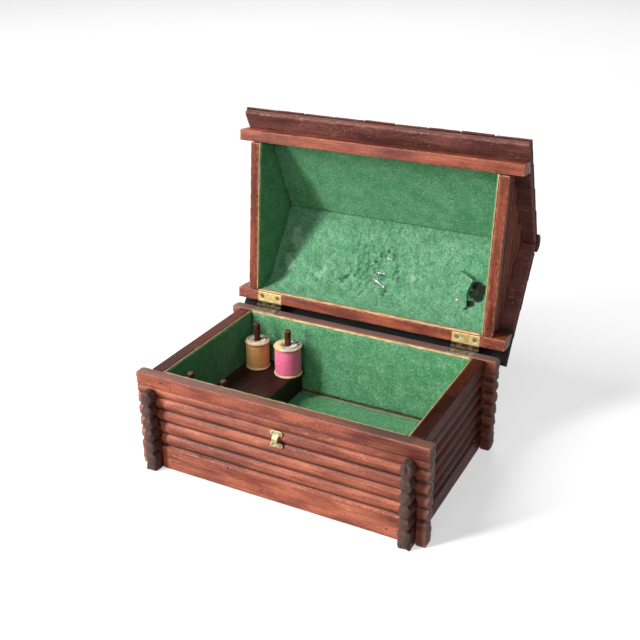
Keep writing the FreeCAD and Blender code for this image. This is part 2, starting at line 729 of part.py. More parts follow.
def build_roof():
    """Two shingled roof boards, mitred at the ridge, and the ridge cap."""
    run = f"(({HALF_D} + eave_reach) / {COS})"
    top = f"({run} + roof_thick * {TAN})"
    last = f"({top} - ridge_width / 2 / {COS} - fit_clear)"
    courses = round(size(f"{last} / course_length"))
    edges = [f"{course} * course_length" for course in range(courses)] + [last]
    outline = [("0", "0"), (run, "0"), (f"{top} - fit_clear", "roof_thick"), (last, "roof_thick")]
    for low, high in reversed(list(zip(edges, edges[1:]))):
        outline.append((high, "roof_thick + shingle_feather"))
        outline.append((low, "roof_thick + shingle_rise"))
    pitch = math.radians(size("roof_pitch"))
    up_slope = FreeCAD.Vector(0, math.cos(pitch), math.sin(pitch))
    eave_low = f"{LID_LOW} + rail_height - eave_reach * {TAN}"
    for node, side in (("front_roof", 1), ("rear_roof", -1)):
        body = new_body(node)
        pad(body, "YZ_Plane", outline, WALL_LENGTH)
        for stagger in (0, 1):
            count = 2 * int(size(WALL_LENGTH) / size("shingle_width") / 2) + stagger
            first = f"-{count - 1} / 2 * shingle_width"
            for course in range(stagger, courses, 2):
                gap = rectangle(f"{first} - shingle_gap / 2", f"{edges[course]} - fit_clear",
                                f"{first} + shingle_gap / 2", f"{edges[course + 1]} - fit_clear")
                slot = body.newObject("PartDesign::Pocket", f"{node}_slot_{course}")
                slot.Profile = closed_sketch(body, "XY_Plane", gap, "roof_thick")
                slot.Reversed = True
                bind(slot, "Length", "2 * shingle_rise")
                repeat(body, slot, "X_Axis", "shingle_width", count)
        eave_y = f"{FRONT_FACE} - eave_reach" if side > 0 else f"{REAR_FACE} + eave_reach"
        slope = FreeCAD.Vector(0, side * up_slope.y, up_slope.z)
        outward = FreeCAD.Vector(0, -side * up_slope.z, up_slope.y)
        tilt = FreeCAD.Rotation(FreeCAD.Vector(side, 0, 0), slope, outward, "XYZ")
        corner = FreeCAD.Vector(0, size(eave_y), size(eave_low))
        publish(body, node, lid_frame(FreeCAD.Placement(corner, tilt)))
    ridge = f"({roof_under(RIDGE_Y)} + roof_thick / {COS} + fit_clear)"
    half = "ridge_width / 2"
    foot = f"({ridge} - {half} * {TAN})"
    crown = f"({half} * {TAN} + ridge_crown)"
    bow = f"(({half})^2 + {crown}^2) / (2 * {crown})"
    cap = new_body("ridge_cap")
    pad(cap, "YZ_Plane", [(f"{RIDGE_Y} - {half}", foot), (RIDGE_Y, ridge), (f"{RIDGE_Y} + {half}", foot),
                          (f"{RIDGE_Y} + {half}", f"{foot} + ridge_edge", bow, 1),
                          (f"{RIDGE_Y} - {half}", f"{foot} + ridge_edge")],
        f"{WALL_LENGTH} + 2 * ridge_overrun")
    publish(cap, "ridge_cap", lid_frame())


def build_lid_linings():
    """Felt on the front slope, the padded rear slope and the two gables."""
    gap = "fit_clear"
    skin = f"felt_thick / {COS}"
    half_length = f"({GABLE_IN} - {gap})"
    edge = f"{FRONT_BACK} + {gap}"
    body = new_body("front_slope_lining")
    pad(body, "YZ_Plane", [(edge, f"{roof_under(edge)} - {gap}"),
                           (edge, f"{roof_under(edge)} - {gap} - {skin}"),
                           (f"{RIDGE_Y} - {gap}", f"{roof_under(RIDGE_Y)} - 2 * {gap} - {skin}"),
                           (f"{RIDGE_Y} - {gap}", f"{roof_under(RIDGE_Y)} - 2 * {gap}")],
        f"2 * {half_length}")
    publish(body, "front_slope_lining", lid_frame())

    edge = f"{REAR_BACK} - {gap}"
    ridge = f"{RIDGE_Y} + {gap}"
    beside = f"-{half_length} + felt_thick + {gap}"
    stations = [(f"-{half_length}", PAD_FLAT), (beside, PAD_FLAT), (PAD_START, 0.2),
                (f"{PAD_START} + pad_length / 6", 0.8), (f"{PAD_START} + pad_length / 2", 1.0),
                (f"{PAD_START} + pad_length * 5 / 6", 0.8), (f"{PAD_START} + pad_length", PAD_FLAT),
                (half_length, PAD_FLAT)]
    body = new_body("rear_slope_pad")
    sections = []
    for place, share in stations:
        crown = f"(pad_crown * {share})"
        bow = f"(({SLOPE} / 2)^2 + {crown}^2) / (2 * {crown})"
        sections.append(closed_sketch(body, "YZ_Plane", [
            (edge, f"{roof_under(edge)} - {gap}"), (ridge, f"{roof_under(ridge)} - {gap}"),
            (ridge, f"{roof_under(ridge)} - {gap} - {skin}", bow, 1),
            (edge, f"{roof_under(edge)} - {gap} - {skin}")], place))
    loft = body.newObject("PartDesign::AdditiveLoft", "rear_slope_loft")
    loft.Profile = sections[0]
    loft.Sections = sections[1:]
    loft.Ruled = True
    publish(body, "rear_slope_pad", lid_frame())

    under = f"({gap} * 3 + {skin})"
    rear = f"{REAR_BACK} - {gap}"
    front = f"{FRONT_BACK} + {gap}"
    for node, side in (("left_gable_lining", -1), ("right_gable_lining", 1)):
        body = new_body(node)
        pad(body, "YZ_Plane", [(rear, f"{LID_LOW} + felt_drop"), (rear, f"{roof_under(rear)} - {under}"),
                               (RIDGE_Y, f"{roof_under(RIDGE_Y)} - {under}"),
                               (front, f"{roof_under(front)} - {under}"),
                               (front, f"{LID_LOW} + felt_drop")], "felt_thick")
        publish(body, node, lid_frame(shift(f"{side} * ({GABLE_IN} - felt_thick / 2)")))


def on_rear_slope(x, climb):
    """Placement on the rear slope's felt: X along the ridge, Y up the slope, Z into the lid."""
    pitch = math.radians(size("roof_pitch"))
    edge = f"{REAR_BACK} - fit_clear"
    foot_z = size(f"{roof_under(edge)} - fit_clear - felt_thick / {COS}")
    up_slope = FreeCAD.Vector(0, -math.cos(pitch), math.sin(pitch))
    inward = FreeCAD.Vector(0, -math.sin(pitch), -math.cos(pitch))
    across = up_slope.cross(inward)
    origin = FreeCAD.Vector(size(x), size(edge), foot_z) + up_slope * size(climb)
    return FreeCAD.Placement(origin, FreeCAD.Rotation(across, up_slope, inward, "XYZ"))


def build_lid_fittings():
    """Torn flap of felt held by a tack, and the pins left in the pad."""
    spot = on_rear_slope(f"{GABLE_IN} - felt_thick - tab_inset", "tab_climb")
    lift = f"fit_clear + pad_crown * {PAD_FLAT}"
    top = f"{lift} + tab_thick"
    flap = new_body("felt_tab")
    outline = [(f"({across} - 0.5) * tab_width", f"{along} * tab_length") for across, along in TORN_CORNERS]
    pad(flap, "XY_Plane", outline, "tab_thick", f"{lift} + tab_thick / 2")
    tack = (f"({TACK_SHARE[0]} - 0.5) * tab_width", f"{TACK_SHARE[1]} * tab_length")
    hole = rod("tab_hole", "tack_shank + peg_clear", f"{top} + tack_dome", (*tack, "0"))
    publish(cut("felt_tab", flap, [hole]), "felt_tab", lid_frame(spot))
    shank = rod("tack_shank_bar", "tack_shank", "tab_thick", (*tack, lift))
    dome = taper("tack_head", "tack_radius", "tack_shank", "tack_dome", (*tack, top))
    publish(fuse("tab_tack", [shank, dome]), "tab_tack", lid_frame(spot))

    felt = on_rear_slope("0", "0")
    pins = []
    for index, (along, up, heading) in enumerate(SEWING_PINS):
        dip = FreeCAD.Rotation(heading, PIN_DIP, 0).multiply(FreeCAD.Rotation(FreeCAD.Vector(0, 1, 0), 90))
        head = (f"{PAD_START} + {along} * pad_length", f"{up} * {SLOPE}", "pad_crown + sewing_pin_head")
        pins.append(rod(f"pin_shank_{index}", "sewing_pin_radius", "sewing_pin_length", head, dip))
        ball = doc.addObject("Part::Sphere", f"pin_head_{index}")
        bind(ball, "Radius", "sewing_pin_head")
        ball.Placement = shift(*head)
        pins.append(ball)
    publish(fuse("sewing_pins", pins), "sewing_pins", lid_frame(felt))


def main():
    """Build every sub-part, check it and write it."""
    build_carcass()
    build_keeper()
    build_shelf()
    build_spool("tan", "peg_rear_left")
    build_spool("pink", "peg_rear_right")
    build_hinges()
    build_lid_frame()
    build_roof()
    build_lid_linings()
    build_lid_fittings()
    doc.recompute()
    for item in doc.Objects:
        if "Invalid" in item.State or "Error" in item.State:
            raise RuntimeError(f"{item.Label} failed: {item.State}")
    for node, item in PARTS.items():
        if item.Shape.isNull() or not item.Shape.isValid():
            raise RuntimeError(f"{node} has no valid shape")
    os.makedirs("parts", exist_ok=True)
    for node, item in PARTS.items():
        item.Shape.exportStep(f"parts/{node}.step")
        box = item.Shape.BoundBox
        print(f"{node}: {len(item.Shape.Solids)} solids, {item.Shape.Volume:.0f} mm3, "
              f"x {box.XMin:.1f}..{box.XMax:.1f} y {box.YMin:.1f}..{box.YMax:.1f} "
              f"z {box.ZMin:.1f}..{box.ZMax:.1f}")


main()
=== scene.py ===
"""Looks of a log-cabin sewing box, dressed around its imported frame.

Metres, +Z up, the front faces -Y and the lid stands open. Sizes below are written in millimetres.
"""
import json
import logging
import math
import random
from dataclasses import dataclass, field
from enum import Enum
from functools import partial
from typing import Callable

import bmesh
import bpy
from mathutils import Matrix, Vector, noise


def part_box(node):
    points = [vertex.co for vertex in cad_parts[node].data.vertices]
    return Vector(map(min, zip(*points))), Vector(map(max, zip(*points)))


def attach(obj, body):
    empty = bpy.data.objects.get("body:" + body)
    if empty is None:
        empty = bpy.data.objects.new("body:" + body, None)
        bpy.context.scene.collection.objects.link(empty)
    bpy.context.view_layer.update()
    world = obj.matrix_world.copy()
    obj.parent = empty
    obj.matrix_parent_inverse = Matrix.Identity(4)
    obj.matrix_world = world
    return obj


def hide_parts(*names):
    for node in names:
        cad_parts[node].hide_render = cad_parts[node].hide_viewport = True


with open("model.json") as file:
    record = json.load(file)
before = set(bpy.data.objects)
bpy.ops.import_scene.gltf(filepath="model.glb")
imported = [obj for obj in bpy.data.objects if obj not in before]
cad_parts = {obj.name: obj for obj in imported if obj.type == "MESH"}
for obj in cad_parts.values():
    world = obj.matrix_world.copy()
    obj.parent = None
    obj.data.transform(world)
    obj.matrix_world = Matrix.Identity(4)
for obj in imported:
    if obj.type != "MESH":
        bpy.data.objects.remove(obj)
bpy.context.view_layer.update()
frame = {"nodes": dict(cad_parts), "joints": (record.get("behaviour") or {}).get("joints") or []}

LOG = logging.getLogger("sewing_box")
MM = 0.001
WELD = 0.001 * MM
WHITE = "#FFFFFF"
BOX_WIDE, BOX_DEEP, BOX_TALL = 266.0, 176.6, 96.5
FRONT_THICK, SIDE_THICK = 11.6, 12.7
# Blender seeds its noise vectors from the clock, and this seed gives the same ragged edges each run
EDGE_SEED = 5
# Numbers of a colour Mix node's three inputs and of its output
SHARE, UNDER, OVER, MIXED = 0, 6, 7, 2

Tree = bpy.types.NodeTree
Socket = bpy.types.NodeSocket
Shape = bmesh.types.BMesh
Piece = bpy.types.Object
Spots = tuple[tuple[float, float, float], ...]
Margins = tuple[float, float, float, float]

FLUSH: Margins = (0.0, 0.0, 0.0, 0.0)


class Grain(Enum):
    """Way that a board's grain runs, as the turn of its pattern's X axis in degrees."""

    WIDE = (0.0, 0.0, 0.0)
    DEEP = (0.0, 0.0, 90.0)
    UPRIGHT = (0.0, -90.0, 90.0)
    FRONT_SLOPE = (0.0, 64.0, 90.0)
    REAR_SLOPE = (0.0, -54.0, 90.0)
    GABLE = (0.0, 95.0, 90.0)

    def turn(self) -> tuple[float, ...]:
        """Turn in radians."""
        return tuple(math.radians(angle) for angle in self.value)


class Body(Enum):
    """The bodies that pieces ride on."""

    BOX = "box"
    LID = "lid"
    TAN = "tan_reel"
    PINK = "pink_reel"


class Slot(Enum):
    """The record's material slots."""

    STAINED_PINE = "stained_pine"
    ROOF_WOOD = "roof_wood"
    DARK_WOOD = "dark_wood"
    GREEN_FELT = "green_felt"
    OLD_BRASS = "old_brass"
    PIN_STEEL = "pin_steel"
    SPOOL_WOOD = "spool_wood"
    TAN_COTTON = "tan_cotton"
    PINK_COTTON = "pink_cotton"
    LABEL_PAPER = "label_paper"


class Held(Enum):
    """Ways that a sheet of felt is held."""

    LAID = "laid"
    STRETCHED = "stretched"
    HUNG = "hung"


def linear(colour: str) -> tuple[float, float, float, float]:
    """Turn an sRGB hex colour into linear RGBA.

    Args:
        colour: six hex digits after a hash.

    Returns:
        Red, green, blue and alpha in linear light.
    """
    parts = [int(colour[at:at + 2], 16) / 255 for at in (1, 3, 5)]
    return (*[p / 12.92 if p <= 0.04045 else ((p + 0.055) / 1.055) ** 2.4 for p in parts], 1.0)


def add(tree: Tree, kind: str, feeds: dict[str | int, object] | None = None, **settings: object) -> bpy.types.Node:
    """Add a node with its settings, and feed its sockets with values or with other nodes' outputs.

    Args:
        tree: node tree that takes the node.
        kind: the node's type name.
        feeds: value, hex colour or output socket for each input, by name or number.
        settings: properties of the node.

    Returns:
        The new node.
    """
    node = tree.nodes.new(kind)
    for name, value in settings.items():
        setattr(node, name, value)
    for name, value in (feeds or {}).items():
        if isinstance(value, Socket):
            tree.links.new(value, node.inputs[name])
        else:
            node.inputs[name].default_value = linear(value) if isinstance(value, str) else value
    return node


@dataclass(frozen=True)
class Finish:
    """Common ground of the finishes: a named material made once."""

    name: str

    def material(self) -> bpy.types.Material:
        """Material of this finish, made at first use.

        Returns:
            The one material of that name.
        """
        known = bpy.data.materials.get(self.name)
        if known:
            return known
        made = bpy.data.materials.new(self.name)
        made.use_nodes = True
        tree = made.node_tree
        shader = next(node for node in tree.nodes if node.type == "BSDF_PRINCIPLED")
        self.paint(tree, shader, add(tree, "ShaderNodeTexCoord").outputs["Object"])
        return made

    def paint(self, tree: Tree, shader: bpy.types.Node, place: Socket) -> None:
        """Wire the finish's nodes to the shader."""
        raise NotImplementedError

    def speckle(self, tree: Tree, place: Socket, cell: tuple[float, float, float], low: float, high: float,
                detail: float = 3.0, turn: tuple[float, ...] = (0.0, 0.0, 0.0)) -> Socket:
        """Noise stretched to a real cell size and spread to run from 0 to 1.

        Args:
            tree: node tree that takes the nodes.
            place: coordinates in metres.
            cell: size of one blotch along each axis, in millimetres.
            low: noise level that becomes 0.
            high: noise level that becomes 1.
            detail: finer layers in the noise.
            turn: turn of the cell's axes in radians.

        Returns:
            Output socket with the spread noise.
        """
        lay = add(tree, "ShaderNodeMapping", {"Vector": place, "Rotation": turn,
                                              "Scale": tuple(side * MM for side in cell)}, vector_type="TEXTURE")
        cloud = add(tree, "ShaderNodeTexNoise", {"Vector": lay.outputs["Vector"], "Scale": 1.0, "Detail": detail,
                                                 "Roughness": 0.6})
        return add(tree, "ShaderNodeMapRange", {"Value": cloud.outputs["Fac"], "From Min": low,
                                                "From Max": high}).outputs["Result"]


@dataclass(frozen=True)
class Wood(Finish):
    """Softwood under an old red stain: uneven colour, long streaks, rubbed edges, and dirt with painted shade in the
    hollows.
    """

    pale: str
    deep: str
    dirt_and_shade: str
    worn: str
    # Colour of the darkest layer: charred, weathered wood, and on the roof boards near black painted shade
    char_and_shade: str = "#685A54"
    grain: Grain = Grain.WIDE
    streak_mm: float = 1.5
    bruise: str = "#4A2424"
    bruise_share: float = 0.7
    streak_share: float = 0.42
    grit_share: float = 0.55
    roughness: float = 0.4
    gloss: float = 0.18
    bump: float = 0.35
    chip: str = "#DBA468"
    chip_share: float = 0.55
    chip_level: float = 0.66

    def paint(self, tree: Tree, shader: bpy.types.Node, place: Socket) -> None:
        """Stain, streaks, dirt and painted shade in the grooves, rubbed edges, chips and charred ends, one over the
        other; on the roof boards the charred layer is near black painted shade.

        Args:
            tree: the material's node tree.
            shader: its Principled shader.
            place: coordinates in metres.
        """
        turn = self.grain.turn()
        stain = self.speckle(tree, place, (46.0, 15.0, 15.0), 0.36, 0.64, 4.0, turn)
        patch = self.speckle(tree, place, (60.0, 10.0, 10.0), 0.48, 0.72, 5.0, turn)
        streak = self.speckle(tree, place, (48.0, self.streak_mm, self.streak_mm), 0.42, 0.68, 3.0, turn)
        fine = self.speckle(tree, place, (9.0, 0.8, 0.8), 0.35, 0.65, 2.0, turn)
        scuff = self.speckle(tree, place, (5.0, 3.0, 3.0), 0.35, 0.65, 4.0, turn)
        grit = self.speckle(tree, place, (2.2, 1.4, 1.4), 0.5, 0.72, 4.0, turn)
        chips = self.speckle(tree, place, (3.4, 1.5, 1.5), self.chip_level, self.chip_level + 0.03, 2.0, turn)
        flock = self.speckle(tree, place, (30.0, 12.0, 12.0), 0.45, 0.62, 2.0, turn)
        rub = add(tree, "ShaderNodeAttribute", attribute_name="wear_and_shade").outputs["Fac"]
        darkness = add(tree, "ShaderNodeAttribute", attribute_name="dark_share").outputs["Fac"]
        dark = add(tree, "ShaderNodeMath", {0: patch, 1: self.bruise_share}, operation="MULTIPLY").outputs[0]
        lines = add(tree, "ShaderNodeMath", {0: streak, 1: self.streak_share}, operation="MULTIPLY").outputs[0]
        pits = add(tree, "ShaderNodeMath", {0: grit, 1: self.grit_share}, operation="MULTIPLY").outputs[0]
        uneven = add(tree, "ShaderNodeMath", {0: scuff, 1: 0.7, 2: -0.35}, operation="MULTIPLY_ADD").outputs[0]
        rough_rub = add(tree, "ShaderNodeMath", {0: rub, 1: uneven}, operation="ADD").outputs[0]
        # Negative wear values paint the grooves and the shaded corners darker: dirt, and painted shade
        low = add(tree, "ShaderNodeMapRange", {"Value": rub, "From Min": -0.12, "From Max": -1.0,
                                               "To Max": 0.92}).outputs["Result"]
        high = add(tree, "ShaderNodeMapRange", {"Value": rough_rub, "From Min": 0.35, "From Max": 1.3,
                                                "To Max": 0.75}).outputs["Result"]
        loose = add(tree, "ShaderNodeMath", {0: chips, 1: flock}, operation="MULTIPLY").outputs[0]
        bare = add(tree, "ShaderNodeMath", {0: loose, 1: self.chip_share}, operation="MULTIPLY").outputs[0]
        shade = add(tree, "ShaderNodeMapRange", {"Value": scuff, "To Min": 0.7, "To Max": 1.0}).outputs["Result"]
        # The charred layer also carries the roof boards' near black painted shade by the hinges
        darkened = add(tree, "ShaderNodeMath", {0: darkness, 1: shade}, operation="MULTIPLY", use_clamp=True).outputs[0]
        colour = self.deep
        for share, over in ((stain, self.pale), (dark, self.bruise), (lines, self.dirt_and_shade), (pits, self.dirt_and_shade),
                            (high, self.worn), (bare, self.chip), (low, self.dirt_and_shade), (darkened, self.char_and_shade)):
            colour = add(tree, "ShaderNodeMix", {SHARE: share, UNDER: colour, OVER: over},
                         data_type="RGBA").outputs[MIXED]
        tree.links.new(colour, shader.inputs["Base Color"])
        dull = add(tree, "ShaderNodeMapRange", {"Value": stain, "To Min": self.roughness - 0.06,
                                                "To Max": self.roughness + 0.1}).outputs["Result"]
        tree.links.new(dull, shader.inputs["Roughness"])
        shader.inputs["Specular IOR Level"].default_value = self.gloss
        relief = add(tree, "ShaderNodeMath", {0: streak, 1: fine}, operation="ADD").outputs[0]
        relief = add(tree, "ShaderNodeMath", {0: relief, 1: grit}, operation="SUBTRACT").outputs[0]
        bump = add(tree, "ShaderNodeBump", {"Height": relief, "Strength": self.bump, "Distance": 0.25 * MM})
        tree.links.new(bump.outputs["Normal"], shader.inputs["Normal"])


@dataclass(frozen=True)
class Felt(Finish):
    """Pressed wool felt: fibres in several greens, a fuzzy nap and pale lint."""

    pale: str = "#69A076"
    mid: str = "#488858"
    deep: str = "#225032"
    lint: str = "#A9C6A2"
    # Near black for the torn hole, the pits and the creases: painted shade
    bare: str = "#140C07"
    soil: str = "#9DBFA0"
    sheen: str = "#9FD9B4"
    crumple: float = 0.0

    def paint(self, tree: Tree, shader: bpy.types.Node, place: Socket) -> None:
        """Clumps, fibres, lint and stains, with painted shade in the creases, and a near black layer: painted shade in
        the torn hole, the pits and the creases of the pad, and a dark line along its upper seam.

        Fibres are drawn as tufts of two millimetres, coarser than real ones, so that they show.

        Args:
            tree: the material's node tree.
            shader: its Principled shader.
            place: coordinates in metres.
        """
        clump = self.speckle(tree, place, (14.0, 14.0, 14.0), 0.32, 0.68, 4.0)
        fibre = self.speckle(tree, place, (1.8, 1.8, 1.8), 0.3, 0.7, 3.0)
        lint = self.speckle(tree, place, (1.9, 1.9, 1.9), 0.58, 0.7, 3.0)
        creased = self.speckle(tree, place, (6.5, 6.5, 6.5), 0.3, 0.7, 6.0)
        dark = add(tree, "ShaderNodeMapRange", {"Value": fibre, "From Min": 0.8, "From Max": 0.0,
                                                "To Max": 0.7}).outputs["Result"]
        flecks = add(tree, "ShaderNodeMath", {0: lint, 1: 0.55}, operation="MULTIPLY").outputs[0]
        stain = add(tree, "ShaderNodeAttribute", attribute_name="stain").outputs["Fac"]
        # Painted shade in the creases of the crumpled felt
        crease_shade = add(tree, "ShaderNodeMapRange", {"Value": creased, "From Min": 0.3, "From Max": 0.08,
                                                  "To Max": 0.22 * self.crumple}).outputs["Result"]
        # Painted shade: the pad's torn hole, pits and creases go near black
        tear_and_shade = add(tree, "ShaderNodeAttribute", attribute_name="tear_and_shade").outputs["Fac"]
        colour = self.mid
        for share, over in ((clump, self.pale), (dark, self.deep), (flecks, self.lint), (stain, self.soil),
                            (crease_shade, self.deep), (tear_and_shade, self.bare)):
            colour = add(tree, "ShaderNodeMix", {SHARE: share, UNDER: colour, OVER: over},
                         data_type="RGBA").outputs[MIXED]
        tree.links.new(colour, shader.inputs["Base Color"])
        shader.inputs["Roughness"].default_value = 0.95
        shader.inputs["Specular IOR Level"].default_value = 0.1
        shader.inputs["Sheen Weight"].default_value = 0.25
        shader.inputs["Sheen Roughness"].default_value = 0.6
        shader.inputs["Sheen Tint"].default_value = linear(self.sheen)
        folds = add(tree, "ShaderNodeBump", {"Height": creased, "Strength": 0.9,
                                             "Distance": (0.2 + self.crumple) * MM})
        nap = add(tree, "ShaderNodeBump", {"Height": fibre, "Strength": 0.7, "Distance": 0.5 * MM,
                                           "Normal": folds.outputs["Normal"]})
        tree.links.new(nap.outputs["Normal"], shader.inputs["Normal"])


@dataclass(frozen=True)
class Brass(Finish):
    """Sheet brass gone dull: yellow where it is rubbed, brown where it has tarnished."""

    bright: str = "#C6B074"
    tarnish: str = "#6E5830"
    hinge_dark: str = "#2A2116"
    share: float = 0.8

    def paint(self, tree: Tree, shader: bpy.types.Node, place: Socket) -> None:
        """Tarnish in blotches, with more in the hollows than on the edges, and a darker colour over it round the hinge
        knuckles.

        Args:
            tree: the material's node tree.
            shader: its Principled shader.
            place: coordinates in metres.
        """
        blotch = self.speckle(tree, place, (3.5, 3.5, 3.5), 0.42, 0.68, 5.0)
        pits = self.speckle(tree, place, (0.6, 0.6, 0.6), 0.35, 0.65, 3.0)
        rub = add(tree, "ShaderNodeAttribute", attribute_name="wear_and_shade").outputs["Fac"]
        hollow = add(tree, "ShaderNodeMapRange", {"Value": rub, "From Min": 0.3, "From Max": -0.6,
                                                  "To Min": -0.3, "To Max": 0.7}).outputs["Result"]
        dull = add(tree, "ShaderNodeMath", {0: blotch, 1: self.share, 2: hollow}, operation="MULTIPLY_ADD",
                   use_clamp=True).outputs[0]
        hinge_dark = add(tree, "ShaderNodeMapRange", {"Value": rub, "From Min": -0.6, "From Max": -1.1,
                                                 "To Max": 0.85}).outputs["Result"]
        colour = self.bright
        for share, over in ((dull, self.tarnish), (hinge_dark, self.hinge_dark)):
            colour = add(tree, "ShaderNodeMix", {SHARE: share, UNDER: colour, OVER: over},
                         data_type="RGBA").outputs[MIXED]
        tree.links.new(colour, shader.inputs["Base Color"])
        shader.inputs["Metallic"].default_value = 0.75
        rough = add(tree, "ShaderNodeMapRange", {"Value": pits, "To Min": 0.48, "To Max": 0.68}).outputs["Result"]
        tree.links.new(rough, shader.inputs["Roughness"])
        bump = add(tree, "ShaderNodeBump", {"Height": pits, "Strength": 0.2, "Distance": 0.1 * MM})
        tree.links.new(bump.outputs["Normal"], shader.inputs["Normal"])


@dataclass(frozen=True)
class Steel(Finish):
    """Drawn and plated pin wire: bright, with a few dull spots."""

    bright: str = "#E6E8EA"
    dull: str = "#9A9C9E"

    def paint(self, tree: Tree, shader: bpy.types.Node, place: Socket) -> None:
        """Bright wire with dull spots.

        Args:
            tree: the material's node tree.
            shader: its Principled shader.
            place: coordinates in metres.
        """
        spots = self.speckle(tree, place, (1.2, 1.2, 1.2), 0.45, 0.7, 3.0)
        colour = add(tree, "ShaderNodeMix", {SHARE: spots, UNDER: self.bright, OVER: self.dull}, data_type="RGBA")
        tree.links.new(colour.outputs[MIXED], shader.inputs["Base Color"])
        shader.inputs["Metallic"].default_value = 0.9
        rough = add(tree, "ShaderNodeMapRange", {"Value": spots, "To Min": 0.2, "To Max": 0.45}).outputs["Result"]
        tree.links.new(rough, shader.inputs["Roughness"])


@dataclass(frozen=True)
class Cotton(Finish):
    """Mercerised cotton thread, wound tight: soft sheen, and turns that catch the light by bands."""

    pale: str
    deep: str

    def paint(self, tree: Tree, shader: bpy.types.Node, place: Socket) -> None:
        """Bands of two or three turns, a little uneven, with loose fibre.

        Args:
            tree: the material's node tree.
            shader: its Principled shader.
            place: coordinates in metres.
        """
        bands = self.speckle(tree, place, (40.0, 40.0, 1.1), 0.3, 0.7, 3.0)
        fuzz = self.speckle(tree, place, (2.5, 2.5, 0.5), 0.35, 0.65, 3.0)
        mixed = add(tree, "ShaderNodeMath", {0: bands, 1: 0.6, 2: fuzz}, operation="MULTIPLY_ADD").outputs[0]
        share = add(tree, "ShaderNodeMapRange", {"Value": mixed, "From Max": 1.5}).outputs["Result"]
        colour = add(tree, "ShaderNodeMix", {SHARE: share, UNDER: self.deep, OVER: self.pale}, data_type="RGBA")
        tree.links.new(colour.outputs[MIXED], shader.inputs["Base Color"])
        shader.inputs["Roughness"].default_value = 0.55
        shader.inputs["Specular IOR Level"].default_value = 0.35
        shader.inputs["Sheen Weight"].default_value = 0.2
        bump = add(tree, "ShaderNodeBump", {"Height": fuzz, "Strength": 0.3, "Distance": 0.2 * MM})
        tree.links.new(bump.outputs["Normal"], shader.inputs["Normal"])


@dataclass(frozen=True)
class Paper(Finish):
    """Printed paper disc: plain rings of ink on cream stock, rubbed, soiled and partly worn off the wood."""

    centre: tuple[float, float]
    ink: str
    rings: tuple[tuple[float, float], ...]
    stock: str = "#F3ECE2"
    soiled: str = "#D9CBB6"
    wood: str = "#E2BF8E"
    bare_left: float = -20.0
    torn_edge: float = 2.0

    def paint(self, tree: Tree, shader: bpy.types.Node, place: Socket) -> None:
        """Rings about the spool's axis, broken where the ink has rubbed off, and bare wood to one side.

        Args:
            tree: the material's node tree.
            shader: its Principled shader.
            place: coordinates in metres.
        """
        shift = add(tree, "ShaderNodeMapping", {"Vector": place, "Location": (*self.centre, 0.0),
                                                "Scale": (MM, MM, 1.0)}, vector_type="TEXTURE")
        flat = add(tree, "ShaderNodeVectorMath", {0: shift.outputs["Vector"], 1: (1.0, 1.0, 0.0)},
                   operation="MULTIPLY").outputs["Vector"]
        radius = add(tree, "ShaderNodeVectorMath", {0: flat}, operation="LENGTH").outputs["Value"]
        soil = self.speckle(tree, place, (2.0, 2.0, 2.0), 0.4, 0.75, 3.0)
        rub = self.speckle(tree, place, (3.5, 3.5, 3.5), 0.3, 0.48, 4.0)
        layers = [(soil, self.soiled)]
        for middle, wide in self.rings:
            ring = add(tree, "ShaderNodeMath", {0: radius, 1: middle, 2: wide / 2}, operation="COMPARE").outputs[0]
            left = add(tree, "ShaderNodeMath", {0: ring, 1: rub}, operation="MULTIPLY").outputs[0]
            layers.append((left, self.ink))
        side = add(tree, "ShaderNodeSeparateXYZ", {0: flat}).outputs["X"]
        gone = add(tree, "ShaderNodeMapRange", {"Value": side, "From Min": self.bare_left + self.torn_edge,
                                                "From Max": self.bare_left - self.torn_edge}).outputs["Result"]
        layers.append((gone, self.wood))
        colour = self.stock
        for share, over in layers:
            colour = add(tree, "ShaderNodeMix", {SHARE: share, UNDER: colour, OVER: over},
                         data_type="RGBA").outputs[MIXED]
        tree.links.new(colour, shader.inputs["Base Color"])
        shader.inputs["Roughness"].default_value = 0.8
        bump = add(tree, "ShaderNodeBump", {"Height": soil, "Strength": 0.15, "Distance": 0.1 * MM})
        tree.links.new(bump.outputs["Normal"], shader.inputs["Normal"])


@dataclass(frozen=True)
class Card(Finish):
    """Raw pasteboard behind the felt: tan, fibrous, torn along its edge."""

    pale: str = "#D9B483"
    deep: str = "#A87B4C"

    def paint(self, tree: Tree, shader: bpy.types.Node, place: Socket) -> None:
        """Fibres and soiling of the cut edge.

        Args:
            tree: the material's node tree.
            shader: its Principled shader.
            place: coordinates in metres.
        """
        soil = self.speckle(tree, place, (11.0, 4.0, 4.0), 0.38, 0.66, 4.0)
        fibre = self.speckle(tree, place, (2.0, 0.7, 0.7), 0.35, 0.65, 3.0)
        colour = add(tree, "ShaderNodeMix", {SHARE: soil, UNDER: self.pale, OVER: self.deep}, data_type="RGBA")
        tree.links.new(colour.outputs[MIXED], shader.inputs["Base Color"])
        shader.inputs["Roughness"].default_value = 0.9
        bump = add(tree, "ShaderNodeBump", {"Height": fibre, "Strength": 0.5, "Distance": 0.3 * MM})
        tree.links.new(bump.outputs["Normal"], shader.inputs["Normal"])


